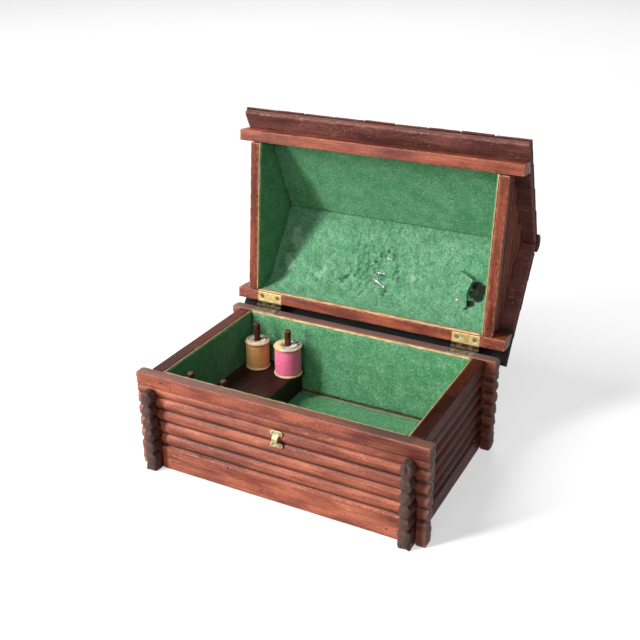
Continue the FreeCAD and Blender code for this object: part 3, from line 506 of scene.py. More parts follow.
@dataclass(frozen=True)
class Table(Finish):
    """White lacquer on a table top: shown to the camera and in reflections as a pale sweep that keeps shadows."""

    pale: str = "#B4B4B4"
    deep: str = "#B0B0B1"
    lift: float = 0.55

    def paint(self, tree: Tree, shader: bpy.types.Node, place: Socket) -> None:
        """Near white with a faint cloud, lifted for the eye alone so that it lights nothing.

        Args:
            tree: the material's node tree.
            shader: its Principled shader.
            place: coordinates in metres.
        """
        cloud = self.speckle(tree, place, (300.0, 300.0, 300.0), 0.3, 0.7, 2.0)
        colour = add(tree, "ShaderNodeMix", {SHARE: cloud, UNDER: self.pale, OVER: self.deep}, data_type="RGBA")
        tree.links.new(colour.outputs[MIXED], shader.inputs["Base Color"])
        shader.inputs["Roughness"].default_value = 0.6
        shader.inputs["Specular IOR Level"].default_value = 0.2
        shader.inputs["Emission Color"].default_value = linear(WHITE)
        seen = add(tree, "ShaderNodeMath", {0: seen_directly(tree), 1: self.lift}, operation="MULTIPLY").outputs[0]
        tree.links.new(seen, shader.inputs["Emission Strength"])


# Pine under a red mahogany stain, carved: satin, pinkish where the light skims the logs
LOGS_WIDE = Wood("stained_pine_logs_wide", "#B4684F", "#803F2E", "#32130D", "#D29A80", grain=Grain.WIDE)
# Same pine on the short sides, coloured darker as painted shade: a shaded copy of the stain, dull, with grey weathered
# ends
SIDE_LOGS_SHADED = Wood("stained_pine_logs_deep_shaded", "#743022", "#481910", "#190704", "#A25A42", grain=Grain.DEEP,
                 char_and_shade="#50433E", gloss=0.06)
# Same pine planed and handled: redder, a little shinier, rubbed to bare wood along its edges
RAILS = Wood("stained_pine_rails", "#A2583B", "#6C281B", "#34120B", "#D89C74", grain=Grain.WIDE, bruise="#52282C",
             gloss=0.25)
# Same pine in the gables: brown red, satin, with its grain across the boards
GABLES = Wood("stained_pine_gables", "#8C452F", "#5F281B", "#2A0E09", "#C98A68", grain=Grain.GABLE)
# Same pine under the shingles: brown and dull, with flecks where the stain missed it, and painted near black by the
# hinges as shade in the gap under the rear rail
ROOF_BOARD = Wood("stained_pine_roof_board", "#805049", "#5A3632", "#28110C", "#94695C", grain=Grain.WIDE,
                  chip_level=0.61, chip="#B98A58", gloss=0.15, roughness=0.6, char_and_shade="#050302")
# Same pine split for shingles and rounded for the ridge: dark, weathered and dull, with more streaks
ROOF_FRONT, ROOF_REAR, RIDGE = (
    Wood(name, "#6E3A2A", "#4A241A", "#24110C", "#94604A", grain=grain, streak_share=0.6, roughness=0.6)
    for name, grain in (("weathered_pine_front", Grain.FRONT_SLOPE), ("weathered_pine_rear", Grain.REAR_SLOPE),
                        ("weathered_pine_ridge", Grain.WIDE)))
# Varnished dark softwood of the shelf: near black brown with a soft shine
SHELF = Wood("varnished_dark_wood", "#3A231E", "#24120F", "#0E0605", "#6A3E32", grain=Grain.DEEP, roughness=0.36,
             chip_share=0.1)
# Same varnish on the dowels: redder, with pale worn tips
PEGS = Wood("varnished_dark_dowel", "#5A281C", "#3D1712", "#1C0B08", "#B48070", grain=Grain.UPRIGHT, roughness=0.4)
# Planed pine without a finish: dry and tan
BARE_PINE = Wood("bare_pine", "#C99E6C", "#A87B4C", "#6B4526", "#DDBB90", grain=Grain.WIDE, roughness=0.7)
# Turned birch, unfinished: pale cream with faint rings
SPOOL_WOOD = Wood("turned_birch", "#EBCDA2", "#DDB584", "#B98A5A", "#F3DDBA", grain=Grain.UPRIGHT,
                  streak_share=0.25, roughness=0.6, bump=0.15)
# Pressed wool felt: matt, mottled green with a fuzzy edge of light
GREEN_FELT = Felt("green_wool_felt")
# Same felt where the light has bleached it and pins have worked it: paler and crumpled, with painted shade in its
# creases
PAD_FELT = Felt("faded_wool_felt", pale="#79AC86", mid="#538E66", deep="#2C5B3E", crumple=2.4)
# Sheet brass where hands rub it: soft yellow shine with brown spots
BRIGHT_BRASS = Brass("rubbed_brass", share=0.55)
# Stamped brass of the catch and the tack: pale yellow on the high parts, brown in the hollows
KEEPER_BRASS = Brass("worn_brass", bright="#C9BC92", tarnish="#5E4E34", share=0.75)
# Brass left alone: grey brown with little shine
DULL_BRASS = Brass("tarnished_brass", bright="#85796A", tarnish="#463C32", share=0.9)
# Drawn and plated steel wire: silver sparks
PIN_STEEL = Steel("plated_pin_steel")
# Iron nail heads: near black dots
NAIL_IRON = Steel("nail_iron", bright="#3A2E2A", dull="#1E1614")
# Mercerised cotton: warm tan, and strong pink, both with a soft band of light
TAN_COTTON = Cotton("tan_cotton_thread", "#EDB06C", "#C0834A")
PINK_COTTON = Cotton("pink_cotton_thread", "#FF86AA", "#E4557F")
# Pasteboard: a thin tan line round each felt, and a green grey one where the floor's felt has rubbed off on it
RAW_CARD = Card("raw_pasteboard")
SOILED_CARD = Card("soiled_pasteboard", pale="#84906A", deep="#5F7350")


def clamp(value: float, low: float = 0.0, high: float = 1.0) -> float:
    """Value kept between two limits."""
    return min(high, max(low, value))


def facing(across: Vector, up: Vector, normal: Vector, at: Vector) -> Matrix:
    """Frame with the given X, Y and Z axes at a place in metres.

    Args:
        across: its X axis.
        up: its Y axis.
        normal: its Z axis.
        at: its origin.

    Returns:
        The frame as a matrix.
    """
    place = Matrix((across, up, normal)).transposed().to_4x4()
    place.translation = at
    return place


def stand(bm: Shape, name: str, smooth: bool = True) -> Piece:
    """Make an object of a finished bmesh, at the origin.

    Args:
        bm: finished shape, which is freed.
        name: name of the piece.
        smooth: whether its faces are shaded smooth.

    Returns:
        The new object.
    """
    for face in bm.faces:
        face.smooth = smooth
    mesh = bpy.data.meshes.new(name)
    bm.to_mesh(mesh)
    bm.free()
    piece = bpy.data.objects.new(name, mesh)
    bpy.context.scene.collection.objects.link(piece)
    return piece


@dataclass(frozen=True)
class Ageing:
    """How a piece has aged: how finely it is cut, how far its edges are rubbed and how its faces have sunk."""

    cut: float
    rubs: int = 4
    hollow: float = 0.4
    along: float = 26.0
    across: float = 6.0
    edge: float = 0.35
    dirt_and_shade: float = 1.3


def aged(node: str, ageing: Ageing, grain: Grain = Grain.WIDE, darkness: Callable[[Vector], float] | None = None,
         sunk: Callable[[Vector, Vector], float] | None = None) -> Shape:
    """Copy a frame node and weather it.

    Args:
        node: name of the frame node.
        ageing: how far it has aged.
        grain: way the grain runs.
        darkness: how dark the wood has gone at a place, from 0 to 1.
        sunk: how deep in the carving a place and its normal are, from 0 to 1, which paints it darker with dirt and
            painted shade.

    Returns:
        The aged shape.
    """
    source = bmesh.new()
    source.from_mesh(frame["nodes"][node].data)
    bmesh.ops.remove_doubles(source, verts=source.verts, dist=WELD)
    return weathered(source, ageing, grain, darkness, sunk)


def weathered(source: Shape, ageing: Ageing, grain: Grain = Grain.WIDE,
              darkness: Callable[[Vector], float] | None = None,
              sunk: Callable[[Vector, Vector], float] | None = None) -> Shape:
    """Cut a shape finely, rub its edges down and sink its faces unevenly along the grain.

    Args:
        source: closed shape in the frame's coordinates, which is freed.
        ageing: how far it has aged.
        grain: way the grain runs.
        darkness: how dark the wood is at a place, from 0 to 1: weathering on the walls, near black painted shade on the
            roof boards.
        sunk: how deep in the carving a place and its normal are, from 0 to 1, which paints it darker with dirt and
            painted shade.

    Returns:
        The weathered shape, with its wear, dirt and painted shade as one vertex value and its darkness as another.
    """
    blank = stand(source, "blank")
    cut = blank.modifiers.new("cut", "REMESH")
    cut.mode = "VOXEL"
    cut.voxel_size = ageing.cut * MM
    fine = bpy.data.meshes.new_from_object(blank.evaluated_get(bpy.context.evaluated_depsgraph_get()))
    bpy.data.objects.remove(blank)
    bm = bmesh.new()
    bm.from_mesh(fine)
    bpy.data.meshes.remove(fine)
    crisp = [vert.co.copy() for vert in bm.verts]
    for _ in range(ageing.rubs):
        bmesh.ops.smooth_vert(bm, verts=bm.verts, factor=0.5, use_axis_x=True, use_axis_y=True, use_axis_z=True)
    bm.normal_update()
    wear_and_shade = bm.verts.layers.float.new("wear_and_shade")
    dark_share = bm.verts.layers.float.new("dark_share")
    unturn = Matrix.Identity(3)
    for axis, angle in zip("XYZ", grain.turn()):
        unturn = Matrix.Rotation(angle, 3, axis) @ unturn
    unturn.invert()
    stretch = Vector((1 / ageing.along, 1 / ageing.across, 1 / ageing.across)) / MM
    for vert, old in zip(bm.verts, crisp):
        vert[wear_and_shade] = (old - vert.co).dot(vert.normal) / (ageing.edge * MM)
        # Sunk places are painted darker: dirt, and painted shade in the grooves and shaded corners
        if sunk:
            vert[wear_and_shade] -= ageing.dirt_and_shade * sunk(vert.co, vert.normal)
        if darkness:
            vert[dark_share] = darkness(old)
        spot = (unturn @ vert.co) * stretch
        sink = 0.5 + 0.5 * noise.noise(spot) + 0.35 * max(0.0, noise.noise(spot * 3.1))
        vert.co -= vert.normal * (sink * ageing.hollow * MM)
    return bm


def seen_directly(tree: Tree) -> Socket:
    """Tell what the eye sees from what lights the object.

    Args:
        tree: node tree that takes the nodes.

    Returns:
        Output socket that is 1 for what the camera, a reflection or glass shows, and 0 for light on the object.
    """
    path = add(tree, "ShaderNodeLightPath").outputs
    seen = path["Is Camera Ray"]
    for other in ("Is Glossy Ray", "Is Transmission Ray"):
        seen = add(tree, "ShaderNodeMath", {0: seen, 1: path[other]}, operation="MAXIMUM").outputs[0]
    return seen


@dataclass(frozen=True)
class Lamp:
    """Rectangle of light: the turn and rise of its place in degrees, its sides in metres and its power."""

    name: str
    turn: float
    rise: float
    wide: float
    tall: float
    power: float


@dataclass
class Studio:
    """Camera at the photographed angle, pale floor, a tall window at the front left and two pale screens."""

    eye: tuple[float, float, float] = (356.9, -687.9, 501.6)
    yaw: float = 27.42
    pitch: float = -24.93
    roll: float = -0.18
    lens: float = 53.48
    sensor: float = 36.0
    floor_side: float = 8.0
    lamps: tuple[Lamp, ...] = (Lamp("window", -38.3, 34.0, 0.6, 4.6, 315.0), Lamp("screen", 12.0, 36.0, 2.0, 2.0, 48.0),
                               Lamp("rear_screen", 205.0, 42.0, 2.0, 2.0, 45.0))
    lamp_away: float = 4.0
    ambient: float = 0.035
    floor: Piece | None = None

    def build(self) -> None:
        """Make the camera, the floor and the lamps."""
        scene = bpy.context.scene
        scene.view_settings.view_transform = "Standard"
        camera = bpy.data.cameras.new("camera")
        camera.lens = self.lens
        camera.sensor_width = self.sensor
        eye = bpy.data.objects.new("camera", camera)
        turn = (Matrix.Rotation(math.radians(self.yaw), 4, "Z")
                @ Matrix.Rotation(math.radians(90 + self.pitch), 4, "X")
                @ Matrix.Rotation(math.radians(self.roll), 4, "Z"))
        eye.matrix_world = Matrix.Translation(Vector(self.eye) * MM) @ turn
        scene.collection.objects.link(eye)
        scene.camera = eye
        bm = bmesh.new()
        bmesh.ops.create_grid(bm, x_segments=1, y_segments=1, size=self.floor_side / 2)
        self.floor = stand(bm, "floor", smooth=False)
        for lamp in self.lamps:
            glow = bpy.data.lights.new(lamp.name, "AREA")
            glow.shape = "RECTANGLE"
            glow.energy = lamp.power
            glow.size = lamp.wide
            glow.size_y = lamp.tall
            light = bpy.data.objects.new(lamp.name, glow)
            light.matrix_world = (Matrix.Rotation(math.radians(lamp.turn), 4, "Z")
                                  @ Matrix.Rotation(math.radians(90 - lamp.rise), 4, "X")
                                  @ Matrix.Translation((0.0, 0.0, self.lamp_away)))
            scene.collection.objects.link(light)

    def dress(self) -> None:
        """Lacquer the table and make the white room."""
        self.floor.data.materials.append(Table("white_lacquer").material())
        world = bpy.data.worlds.new("room")
        bpy.context.scene.world = world
        world.use_nodes = True
        tree = world.node_tree
        level = add(tree, "ShaderNodeMapRange", {"Value": seen_directly(tree), "To Min": self.ambient, "To Max": 1.0})
        room = next(node for node in tree.nodes if node.type == "BACKGROUND")
        room.inputs["Color"].default_value = linear(WHITE)
        tree.links.new(level.outputs["Result"], room.inputs["Strength"])


@dataclass(frozen=True)
class Outfit:
    """What is kept for a piece once it is built: its body, finish and slot, and the CAD nodes it stands for."""

    piece: Piece
    body: Body
    finish: Finish
    slot: Slot | None = None
    stands_for: tuple[str, ...] = ()


@dataclass
class SubAssembly:
    """Common ground of the sub-assemblies: pieces are kept as they are built, and dressed afterwards."""

    kept: list[Outfit] = field(default_factory=list, init=False)

    def build(self) -> None:
        """Make the meshes."""
        raise NotImplementedError

    def keep(self, piece: Piece, body: Body, finish: Finish, slot: Slot | None = None, *stands_for: str) -> Piece:
        """Note what a finished piece is to be given.

        Args:
            piece: finished piece.
            body: body that carries it.
            finish: its finish.
            slot: the record's material slot.
            stands_for: CAD nodes that it replaces.

        Returns:
            The piece.
        """
        self.kept.append(Outfit(piece, body, finish, slot, stands_for))
        return piece

    def dress(self) -> None:
        """Give each piece its finish and body, hide the CAD nodes that it stands for, and log it."""
        for outfit in self.kept:
            piece = outfit.piece
            piece.data.materials.clear()
            piece.data.materials.append(outfit.finish.material())
            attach(piece, outfit.body.value)
            if outfit.stands_for:
                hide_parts(*outfit.stands_for)
            LOG.info("%s rides on %s, %d faces", piece.name, outfit.body.value, len(piece.data.polygons))


@dataclass
class Carcass(SubAssembly):
    """Carved walls and the floor board.

    An end's pair is how far past the box its darkening starts, and over what length it grows. The groove's depths
    are where its dirt and painted shade start, where they are full, and where the board's own core begins.
    """

    width: float = BOX_WIDE
    depth: float = BOX_DEEP
    height: float = BOX_TALL
    wall: Ageing = Ageing(1.0, rubs=2, hollow=0.3, edge=0.25)
    rim_skin: float = 0.8
    rim_wide: float = FRONT_THICK + 0.2
    darkest: float = 0.9
    front_rim_soot: float = 0.35
    front_rim_dirt: float = 0.25
    wide_ends: tuple[float, float] = (7.0, 5.0)
    deep_ends: tuple[float, float] = (1.0, 4.0)
    # The rim log darkens towards the right: its height, where the darkening starts, over what length, and at most
    right_dark_band: float = 16.0
    right_dark_from: float = 50.0
    right_dark_over: float = 120.0
    right_dark_most: float = 0.45
    # Painted shade on the front and rear walls' right ends, past this place, and its strength
    corner_from: float = 127.0
    corner_painted_shade: float = 0.5
    groove: tuple[float, float, float] = (1.9, 3.4, 4.6)
    pitting: float = 0.75
    pits_from: tuple[float, float] = (8.0, 2.0)
    pits_over: float = 3.0
    pit_sizes: tuple[float, float] = (4.5, 2.2)
    pit_dirt: float = 0.7
    split: tuple[tuple[float, float], tuple[float, float]] = ((129.0, 73.0), (124.6, 93.0))
    split_wide: float = 1.6
    split_deep: float = 2.4
    split_dirt: float = 1.5
    floor_ease: float = 0.6

    def darkness(self, place: Vector) -> float:
        """Darkness of the log ends and of the tops of the rims.

        Args:
            place: point on a wall.

        Returns:
            0 for clean stain to 0.9 for the darkest.
        """
        x, y, z = abs(place.x) / MM, abs(place.y) / MM, place.z / MM
        end = max((x - self.width / 2 - self.wide_ends[0]) / self.wide_ends[1],
                  (y - self.depth / 2 - self.deep_ends[0]) / self.deep_ends[1])
        on_rim = z > self.height - self.rim_skin and y > self.depth / 2 - self.rim_wide
        rim = self.darkest if place.y > 0 else self.front_rim_soot
        return clamp(max(end, rim if on_rim else 0.0), high=self.darkest)

    def sunk(self, place: Vector, normal: Vector, axis: int, faces: tuple[float, float]) -> float:
        """How much darker a place is painted: dirt and painted shade by its depth in the carving, a darkening of the
        rim log towards its right end and on the front rim's top, and painted shade at the walls' right ends.

        Args:
            place: point on a wall.
            normal: the wall's normal there.
            axis: axis across the wall.
            faces: inner and outer face of the wall along that axis, in millimetres.

        Returns:
            0 on the logs' crests to 1 in the grooves.
        """
        across = abs(place[axis]) / MM
        depth = min(across - faces[0], faces[1] - across)
        first, full, last = self.groove
        # Grooves are painted darker by their depth: dirt, and painted shade
        share = clamp((depth - first) / (full - first)) if depth < last else 0.0
        # The rim log darkens towards its right end
        extra_dark = 0.0
        if place.z > (self.height - self.right_dark_band) * MM:
            extra_dark = clamp((place.x / MM - self.right_dark_from) / self.right_dark_over, high=self.right_dark_most)
        if place.z > (self.height - self.rim_skin) * MM and place.y < 0:
            extra_dark += self.front_rim_dirt
        # Painted shade: the wall's right end, in the shade of the side wall's log ends
        if axis == 1 and place.x > self.corner_from * MM:
            extra_dark = self.corner_painted_shade
        return max(share * min(1.0, 2.5 * abs(normal[axis])), extra_dark)

    def gnarl(self, bm: Shape, deep: bool) -> None:
        """Pit the log ends of a wall, and split the one at the front right.

        Args:
            bm: the wall's aged shape.
            deep: whether the wall runs from front to rear.
        """
        wear_and_shade = bm.verts.layers.float["wear_and_shade"]
        foot, head = self.split
        wide, small = self.pit_sizes
        for vert in bm.verts:
            x, y, z = vert.co / MM
            out = abs(y) - self.depth / 2 - self.pits_from[1] if deep else abs(x) - self.width / 2 - self.pits_from[0]
            if out < 0:
                continue
            pit = 0.5 + noise.noise(Vector((x / wide, y / wide, z / wide))) + 0.6 * noise.noise(vert.co / MM / small)
            vert.co -= vert.normal * (max(0.0, pit) * min(1.0, out / self.pits_over) * self.pitting * MM)
            vert[wear_and_shade] -= self.pit_dirt * max(0.0, pit - 0.5)
            share = (z - foot[1]) / (head[1] - foot[1])
            if deep and x > 0 > y and 0 < share < 1:
                across = abs(x - foot[0] - share * (head[0] - foot[0]))
                open_by = max(0.0, 1 - across / self.split_wide) * min(1.0, 4 * share, 4 * (1 - share))
                vert.co.y += self.split_deep * open_by * MM
                vert[wear_and_shade] -= self.split_dirt * open_by

    def build(self) -> None:
        """Age the four walls and ease the floor board."""
        # The side walls take a darker copy of the stain, which is painted shade
        walls = {"front_wall": LOGS_WIDE, "rear_wall": LOGS_WIDE, "left_wall": SIDE_LOGS_SHADED, "right_wall": SIDE_LOGS_SHADED}
        for node, finish in walls.items():
            deep = finish is SIDE_LOGS_SHADED
            half, thick = (self.width / 2, SIDE_THICK) if deep else (self.depth / 2, FRONT_THICK)
            carving = partial(self.sunk, axis=0 if deep else 1, faces=(half - thick, half))
            bm = aged(node, self.wall, finish.grain, self.darkness, carving)
            self.gnarl(bm, deep)
            self.keep(stand(bm, f"{node}_carved"), Body.BOX, finish, Slot.STAINED_PINE, node)
        low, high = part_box("floor_board")
        bm = bmesh.new()
        bmesh.ops.create_cube(bm, size=1.0)
        bmesh.ops.scale(bm, vec=high - low, verts=bm.verts)
        bmesh.ops.translate(bm, vec=(low + high) / 2, verts=bm.verts)
        bmesh.ops.bevel(bm, geom=bm.edges, offset=self.floor_ease * MM, offset_type="OFFSET", affect="EDGES",
                        segments=2, profile=0.5, material=-1)
        self.keep(stand(bm, "floor_board_planed", smooth=False), Body.BOX, BARE_PINE, Slot.STAINED_PINE, "floor_board")


@dataclass
class Panel:
    """One felt lining: a thin sheet with a soft face and ragged edges, on a raw card.

    Felt starts and card ends at a share of the lining's thickness. Card starts at a height in millimetres.
    """

    node: str
    body: Body
    place: Matrix
    size: tuple[float, float]
    margins: Margins = (1.2, 1.2, 1.2, 1.4)
    thick: float = 1.8
    step: float = 3.0
    ragged: float = 0.9
    card_ragged: float = 0.4
    edge_cell: float = 5.0
    dip: float = 0.3
    dip_cell: float = 30.0
    felt_from: float = 0.45
    card_from: float = 0.05
    card_to: float = 0.4
    card: Finish = RAW_CARD
    held: Held = Held.STRETCHED
    trims: tuple[tuple[Vector, Vector], ...] = ()

    def sheet(self, margins: Margins, low: float, high: float, ragged: float) -> Shape:
        """Flat sheet in the panel's own plane.

        Args:
            margins: how far its left, right, lower and upper edges stay inside the panel, in millimetres.
            low: height of its back above the board.
            high: height of its face above the board.
            ragged: how far its edge wanders.

        Returns:
            Closed sheet in the frame's coordinates.
        """
        left, right, lower, upper = margins
        wide, tall = self.size[0] - left - right, self.size[1] - lower - upper
        bm = bmesh.new()
        bmesh.ops.create_grid(bm, x_segments=max(4, round(wide / self.step)),
                              y_segments=max(4, round(tall / self.step)), size=0.5)
        bmesh.ops.scale(bm, vec=(wide, tall, 1.0), verts=bm.verts)
        bmesh.ops.translate(bm, vec=((left - right) / 2, (lower - upper) / 2, 0.0), verts=bm.verts)
        for point, normal in self.trims:
            bmesh.ops.bisect_plane(bm, geom=bm.verts[:] + bm.edges[:] + bm.faces[:], plane_co=point,
                                   plane_no=normal, clear_outer=True)
        for vert in bm.verts:
            x, y = vert.co.x, vert.co.y
            if vert.is_boundary:
                wander = noise.noise_vector(Vector((x / self.edge_cell, y / self.edge_cell, low))) * ragged
                vert.co.x -= abs(wander.x) * math.copysign(1, x)
                vert.co.y -= abs(wander.y) * math.copysign(1, y)
            vert.co.z = high - self.dip * abs(noise.noise(Vector((x / self.dip_cell, y / self.dip_cell, 4.7))))
        bmesh.ops.solidify(bm, geom=bm.faces, thickness=high - low)
        bmesh.ops.recalc_face_normals(bm, faces=bm.faces)
        bmesh.ops.transform(bm, matrix=self.place @ Matrix.Scale(MM, 4), verts=bm.verts)
        return bm

    def build(self, home: SubAssembly) -> None:
        """Lay felt over card.

        Args:
            home: sub-assembly that keeps both.
        """
        cloth = self.sheet(self.margins, self.thick * self.felt_from, self.thick, self.ragged)
        felt = stand(cloth, f"{self.node}_felt")
        board = self.sheet(FLUSH, self.card_from, self.thick * self.card_to, self.card_ragged)
        card = stand(board, f"{self.node}_card")
        home.keep(felt, self.body, GREEN_FELT, Slot.GREEN_FELT, self.node)
        home.keep(card, self.body, self.card)
        wide, tall = (side * MM for side in self.size)


@dataclass
class BoxLining(SubAssembly):
    """Felt on the floor and on the four inner walls."""

    floor: Margins = (0.4, 0.4, 0.4, 7.5)
    left: Margins = (0.3, 0.3, 0.3, 0.9)
    right: Margins = (0.3, 0.3, 0.3, 1.6)
    front: Margins = (0.3, 0.3, 0.3, 0.0)
    rear: Margins = (0.3, 0.3, 0.3, 1.6)

    def build(self) -> None:
        """Lay each panel in the space that its node holds."""
        for side, margins, across, normal in (
                ("floor", self.floor, Vector((1, 0, 0)), Vector((0, 0, 1))),
                ("left", self.left, Vector((0, 1, 0)), Vector((1, 0, 0))),
                ("right", self.right, Vector((0, -1, 0)), Vector((-1, 0, 0))),
                ("front", self.front, Vector((-1, 0, 0)), Vector((0, 1, 0))),
                ("rear", self.rear, Vector((1, 0, 0)), Vector((0, -1, 0)))):
            node = f"{side}_lining"
            low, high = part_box(node)
            up = normal.cross(across)
            span = high - low
            place = facing(across, up, normal, (low + high) / 2 - normal * (abs(span.dot(normal)) / 2))
            size = (abs(span.dot(across)) / MM, abs(span.dot(up)) / MM)
            laid = side == "floor"
            Panel(node, Body.BOX, place, size, margins, card=SOILED_CARD if laid else RAW_CARD,
                  held=Held.LAID if laid else Held.STRETCHED).build(self)


@dataclass
class SpoolShelf(SubAssembly):
    """Dark shelf on its riser and cleat, with four dowels."""

    board: Ageing = Ageing(1.2, rubs=3, hollow=0.2)
    dowel: Ageing = Ageing(0.5, rubs=4, hollow=0.15, along=20.0, across=2.0, edge=0.15)

    def build(self) -> None:
        """Age the boards and the dowels."""
        for node in ("spool_shelf", "shelf_riser", "shelf_cleat"):
            piece = stand(aged(node, self.board, Grain.DEEP), f"{node}_varnished")
            self.keep(piece, Body.BOX, SHELF, Slot.DARK_WOOD, node)
        for node in ("peg_front_left", "peg_front_right", "peg_rear_left", "peg_rear_right"):
            piece = stand(aged(node, self.dowel, Grain.UPRIGHT), f"{node}_dowel")
            self.keep(piece, Body.BOX, PEGS, Slot.DARK_WOOD, node)


@dataclass
class Spool(SubAssembly):
    """Turned wooden spool with its winding and paper label."""

    colour: str
    body: Body
    thread: Finish
    slot: Slot
    ink: str
    rings: tuple[tuple[float, float], ...]
    bare_left: float = -20.0
    bore: float = 3.6
    core: float = 6.5
    rim: float = 2.4
    slope: float = 3.0
    ease: float = 1.1
    bore_ease: float = 0.4
    label_in: float = 0.9
    thread_in: float = 0.45
    thread_gap: float = 0.3
    thread_off: tuple[float, float] = (0.1, 0.2)
    label_rise: tuple[float, float, float] = (0.02, 0.16, 0.2)
    turns: int = 44
    proud: float = 0.16
    belly: float = 0.25
    steps: int = 72

    def size(self, node: str) -> tuple[float, float]:
        """Radius and height of one of the spool's CAD nodes, in millimetres."""
        low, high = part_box(f"{self.colour}_{node}")
        return (high.x - low.x) / 2 / MM, (high.z - low.z) / MM

    def turned(self, name: str, profile: list[tuple[float, float]]) -> Piece:
        """Spin a closed profile of radii and heights, in millimetres, about the spool's axis.

        Args:
            name: name of the piece.
            profile: corners of the section.

        Returns:
            The turned piece.
        """
        low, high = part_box(f"{self.colour}_spool")
        foot = Vector(((low.x + high.x) / 2, (low.y + high.y) / 2, low.z))
        bm = bmesh.new()
        ring = [bm.verts.new((radius * MM, 0.0, height * MM)) for radius, height in profile]
        edges = [bm.edges.new(pair) for pair in zip(ring, ring[1:] + ring[:1])]
        bmesh.ops.spin(bm, geom=ring + edges, cent=(0, 0, 0), axis=(0, 0, 1), angle=2 * math.pi,
                       steps=self.steps, use_merge=True)
        bmesh.ops.remove_doubles(bm, verts=bm.verts, dist=WELD)
        bmesh.ops.recalc_face_normals(bm, faces=bm.faces)
        bmesh.ops.translate(bm, vec=foot, verts=bm.verts)
        return stand(bm, name)

    def rounded(self, radius: float, low: float, high: float) -> list[tuple[float, float]]:
        """Outer edge of a flange with eased corners.

        Args:
            radius: the flange's radius.
            low: height of its lower face.
            high: height of its upper face.

        Returns:
            Corners from the lower face to the upper one.
        """
        corners = []
        for centre, start in ((low + self.ease, -90), (high - self.ease, 0)):
            for angle in range(start, start + 91, 30):
                turn = math.radians(angle)
                corners.append((radius - self.ease + self.ease * math.cos(turn), centre + self.ease * math.sin(turn)))
        return corners

    def build(self) -> None:
        """Turn the wood, wind the thread and lay the label."""
        radius, tall = self.size("spool")
        wood = [(self.bore, 0.0), *self.rounded(radius, 0.0, self.rim), (self.core, self.rim + self.slope),
                (self.core, tall - self.rim - self.slope), *self.rounded(radius, tall - self.rim, tall),
                (self.bore + self.bore_ease, tall), (self.bore, tall - self.bore_ease)]
        edge, _ = self.size("label")
        hole = self.bore + self.label_in
        foot, rim, top = (tall + rise for rise in self.label_rise)
        label = [(hole, foot), (edge, foot), (edge, rim), (hole, top)]
        low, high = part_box(f"{self.colour}_label")
        centre = ((low.x + high.x) / 2, (low.y + high.y) / 2)
        paper = Paper(f"{self.colour}_label_paper", centre, self.ink, self.rings, bare_left=self.bare_left)
        for node, made, profile, finish, slot in (
                ("spool", "turned", wood, SPOOL_WOOD, Slot.SPOOL_WOOD),
                ("thread", "wound", self.winding(radius, tall), self.thread, self.slot),
                ("label", "disc", label, paper, Slot.LABEL_PAPER)):
            name = f"{self.colour}_{node}"
            self.keep(self.turned(f"{name}_{made}", profile), self.body, finish, slot, name)

    def winding(self, radius: float, tall: float) -> list[tuple[float, float]]:
        """Section of the thread, turn by turn.

        Args:
            radius: the spool's radius.
            tall: the spool's height.

        Returns:
            Corners from the lower flange to the upper one.
        """
        outer, _ = self.size("thread")
        start = self.rim + (radius - outer) * self.slope / (radius - self.core) + self.thread_gap
        pitch = (tall - 2 * start) / self.turns
        inner, ease = self.core + self.thread_off[0], self.thread_off[1]
        section = [(inner, self.rim + self.slope + ease)]
        for turn in range(self.turns):
            bulge = self.belly * math.sin(math.pi * (turn + 0.5) / self.turns)
            for share, proud in ((0.1, 0.0), (0.5, self.proud), (0.9, 0.0)):
                section.append((outer - self.thread_in + bulge + proud, start + (turn + share) * pitch))
        section.append((inner, tall - self.rim - self.slope - ease))
        return section


@dataclass(frozen=True)
class LidForm:
    """Sizes of the lid, drawn shut on the hinge axis, and its swing to the open stop."""

    depth: float = BOX_DEEP
    reach: float = 3.5
    gap: float = 0.3
    rail_height: float = 17.0
    rail_depth: float = FRONT_THICK
    pitch: float = 31.0
    half_length: float = 122.6
    felt: float = 1.8
    clear: float = 0.1

    def swing(self) -> Matrix:
        """Placement of the shut lid's frame at the open stop.

        Returns:
            The frame as a matrix, in metres.
        """
        hinge = next(joint for joint in frame["joints"] if joint["name"] == "lid_hinge")
        turn = Matrix.Rotation(-math.radians(hinge["range_deg"][1]), 4, "X")
        return Matrix.Translation(hinge["pos_m"]) @ turn

    def from_axis(self, place: Vector) -> float:
        """Distance of a place from the hinge axis, in millimetres."""
        axis = self.swing().translation
        return math.hypot(place.y - axis.y, place.z - axis.z) / MM

    def under(self, back: float) -> float:
        """Height of the roof boards' underside above the hinge axis, at a distance in front of the axis."""
        ridge = self.reach + self.depth / 2
        return self.gap / 2 + self.rail_height + (self.depth / 2 - abs(back - ridge)) * math.tan(self.slope)

    @property
    def slope(self) -> float:
        """Roof pitch in radians."""
        return math.radians(self.pitch)

    @property
    def slope_length(self) -> float:
        """Length of a lined slope from its foot to the ridge."""
        return (self.depth / 2 - self.rail_depth - 2 * self.clear) / math.cos(self.slope)

    def slope_frame(self, way: float) -> Matrix:
        """Frame on a slope's board: X along the ridge, Y up the slope, Z into the lid, at its foot.

        Args:
            way: 1 for the front slope and -1 for the rear one, the way along Y that the slope climbs.

        Returns:
            The frame as a matrix, in metres.
        """
        rear_foot = self.rail_depth + self.clear
        back = self.reach + (self.depth - rear_foot if way > 0 else rear_foot)
        up = Vector((0, way * math.cos(self.slope), math.sin(self.slope)))
        inward = Vector((0, way * math.sin(self.slope), -math.cos(self.slope)))
        foot = Vector((0, -back, self.under(back) - self.clear))
        return self.swing() @ facing(up.cross(inward), up, inward, foot * MM)


LID = LidForm()


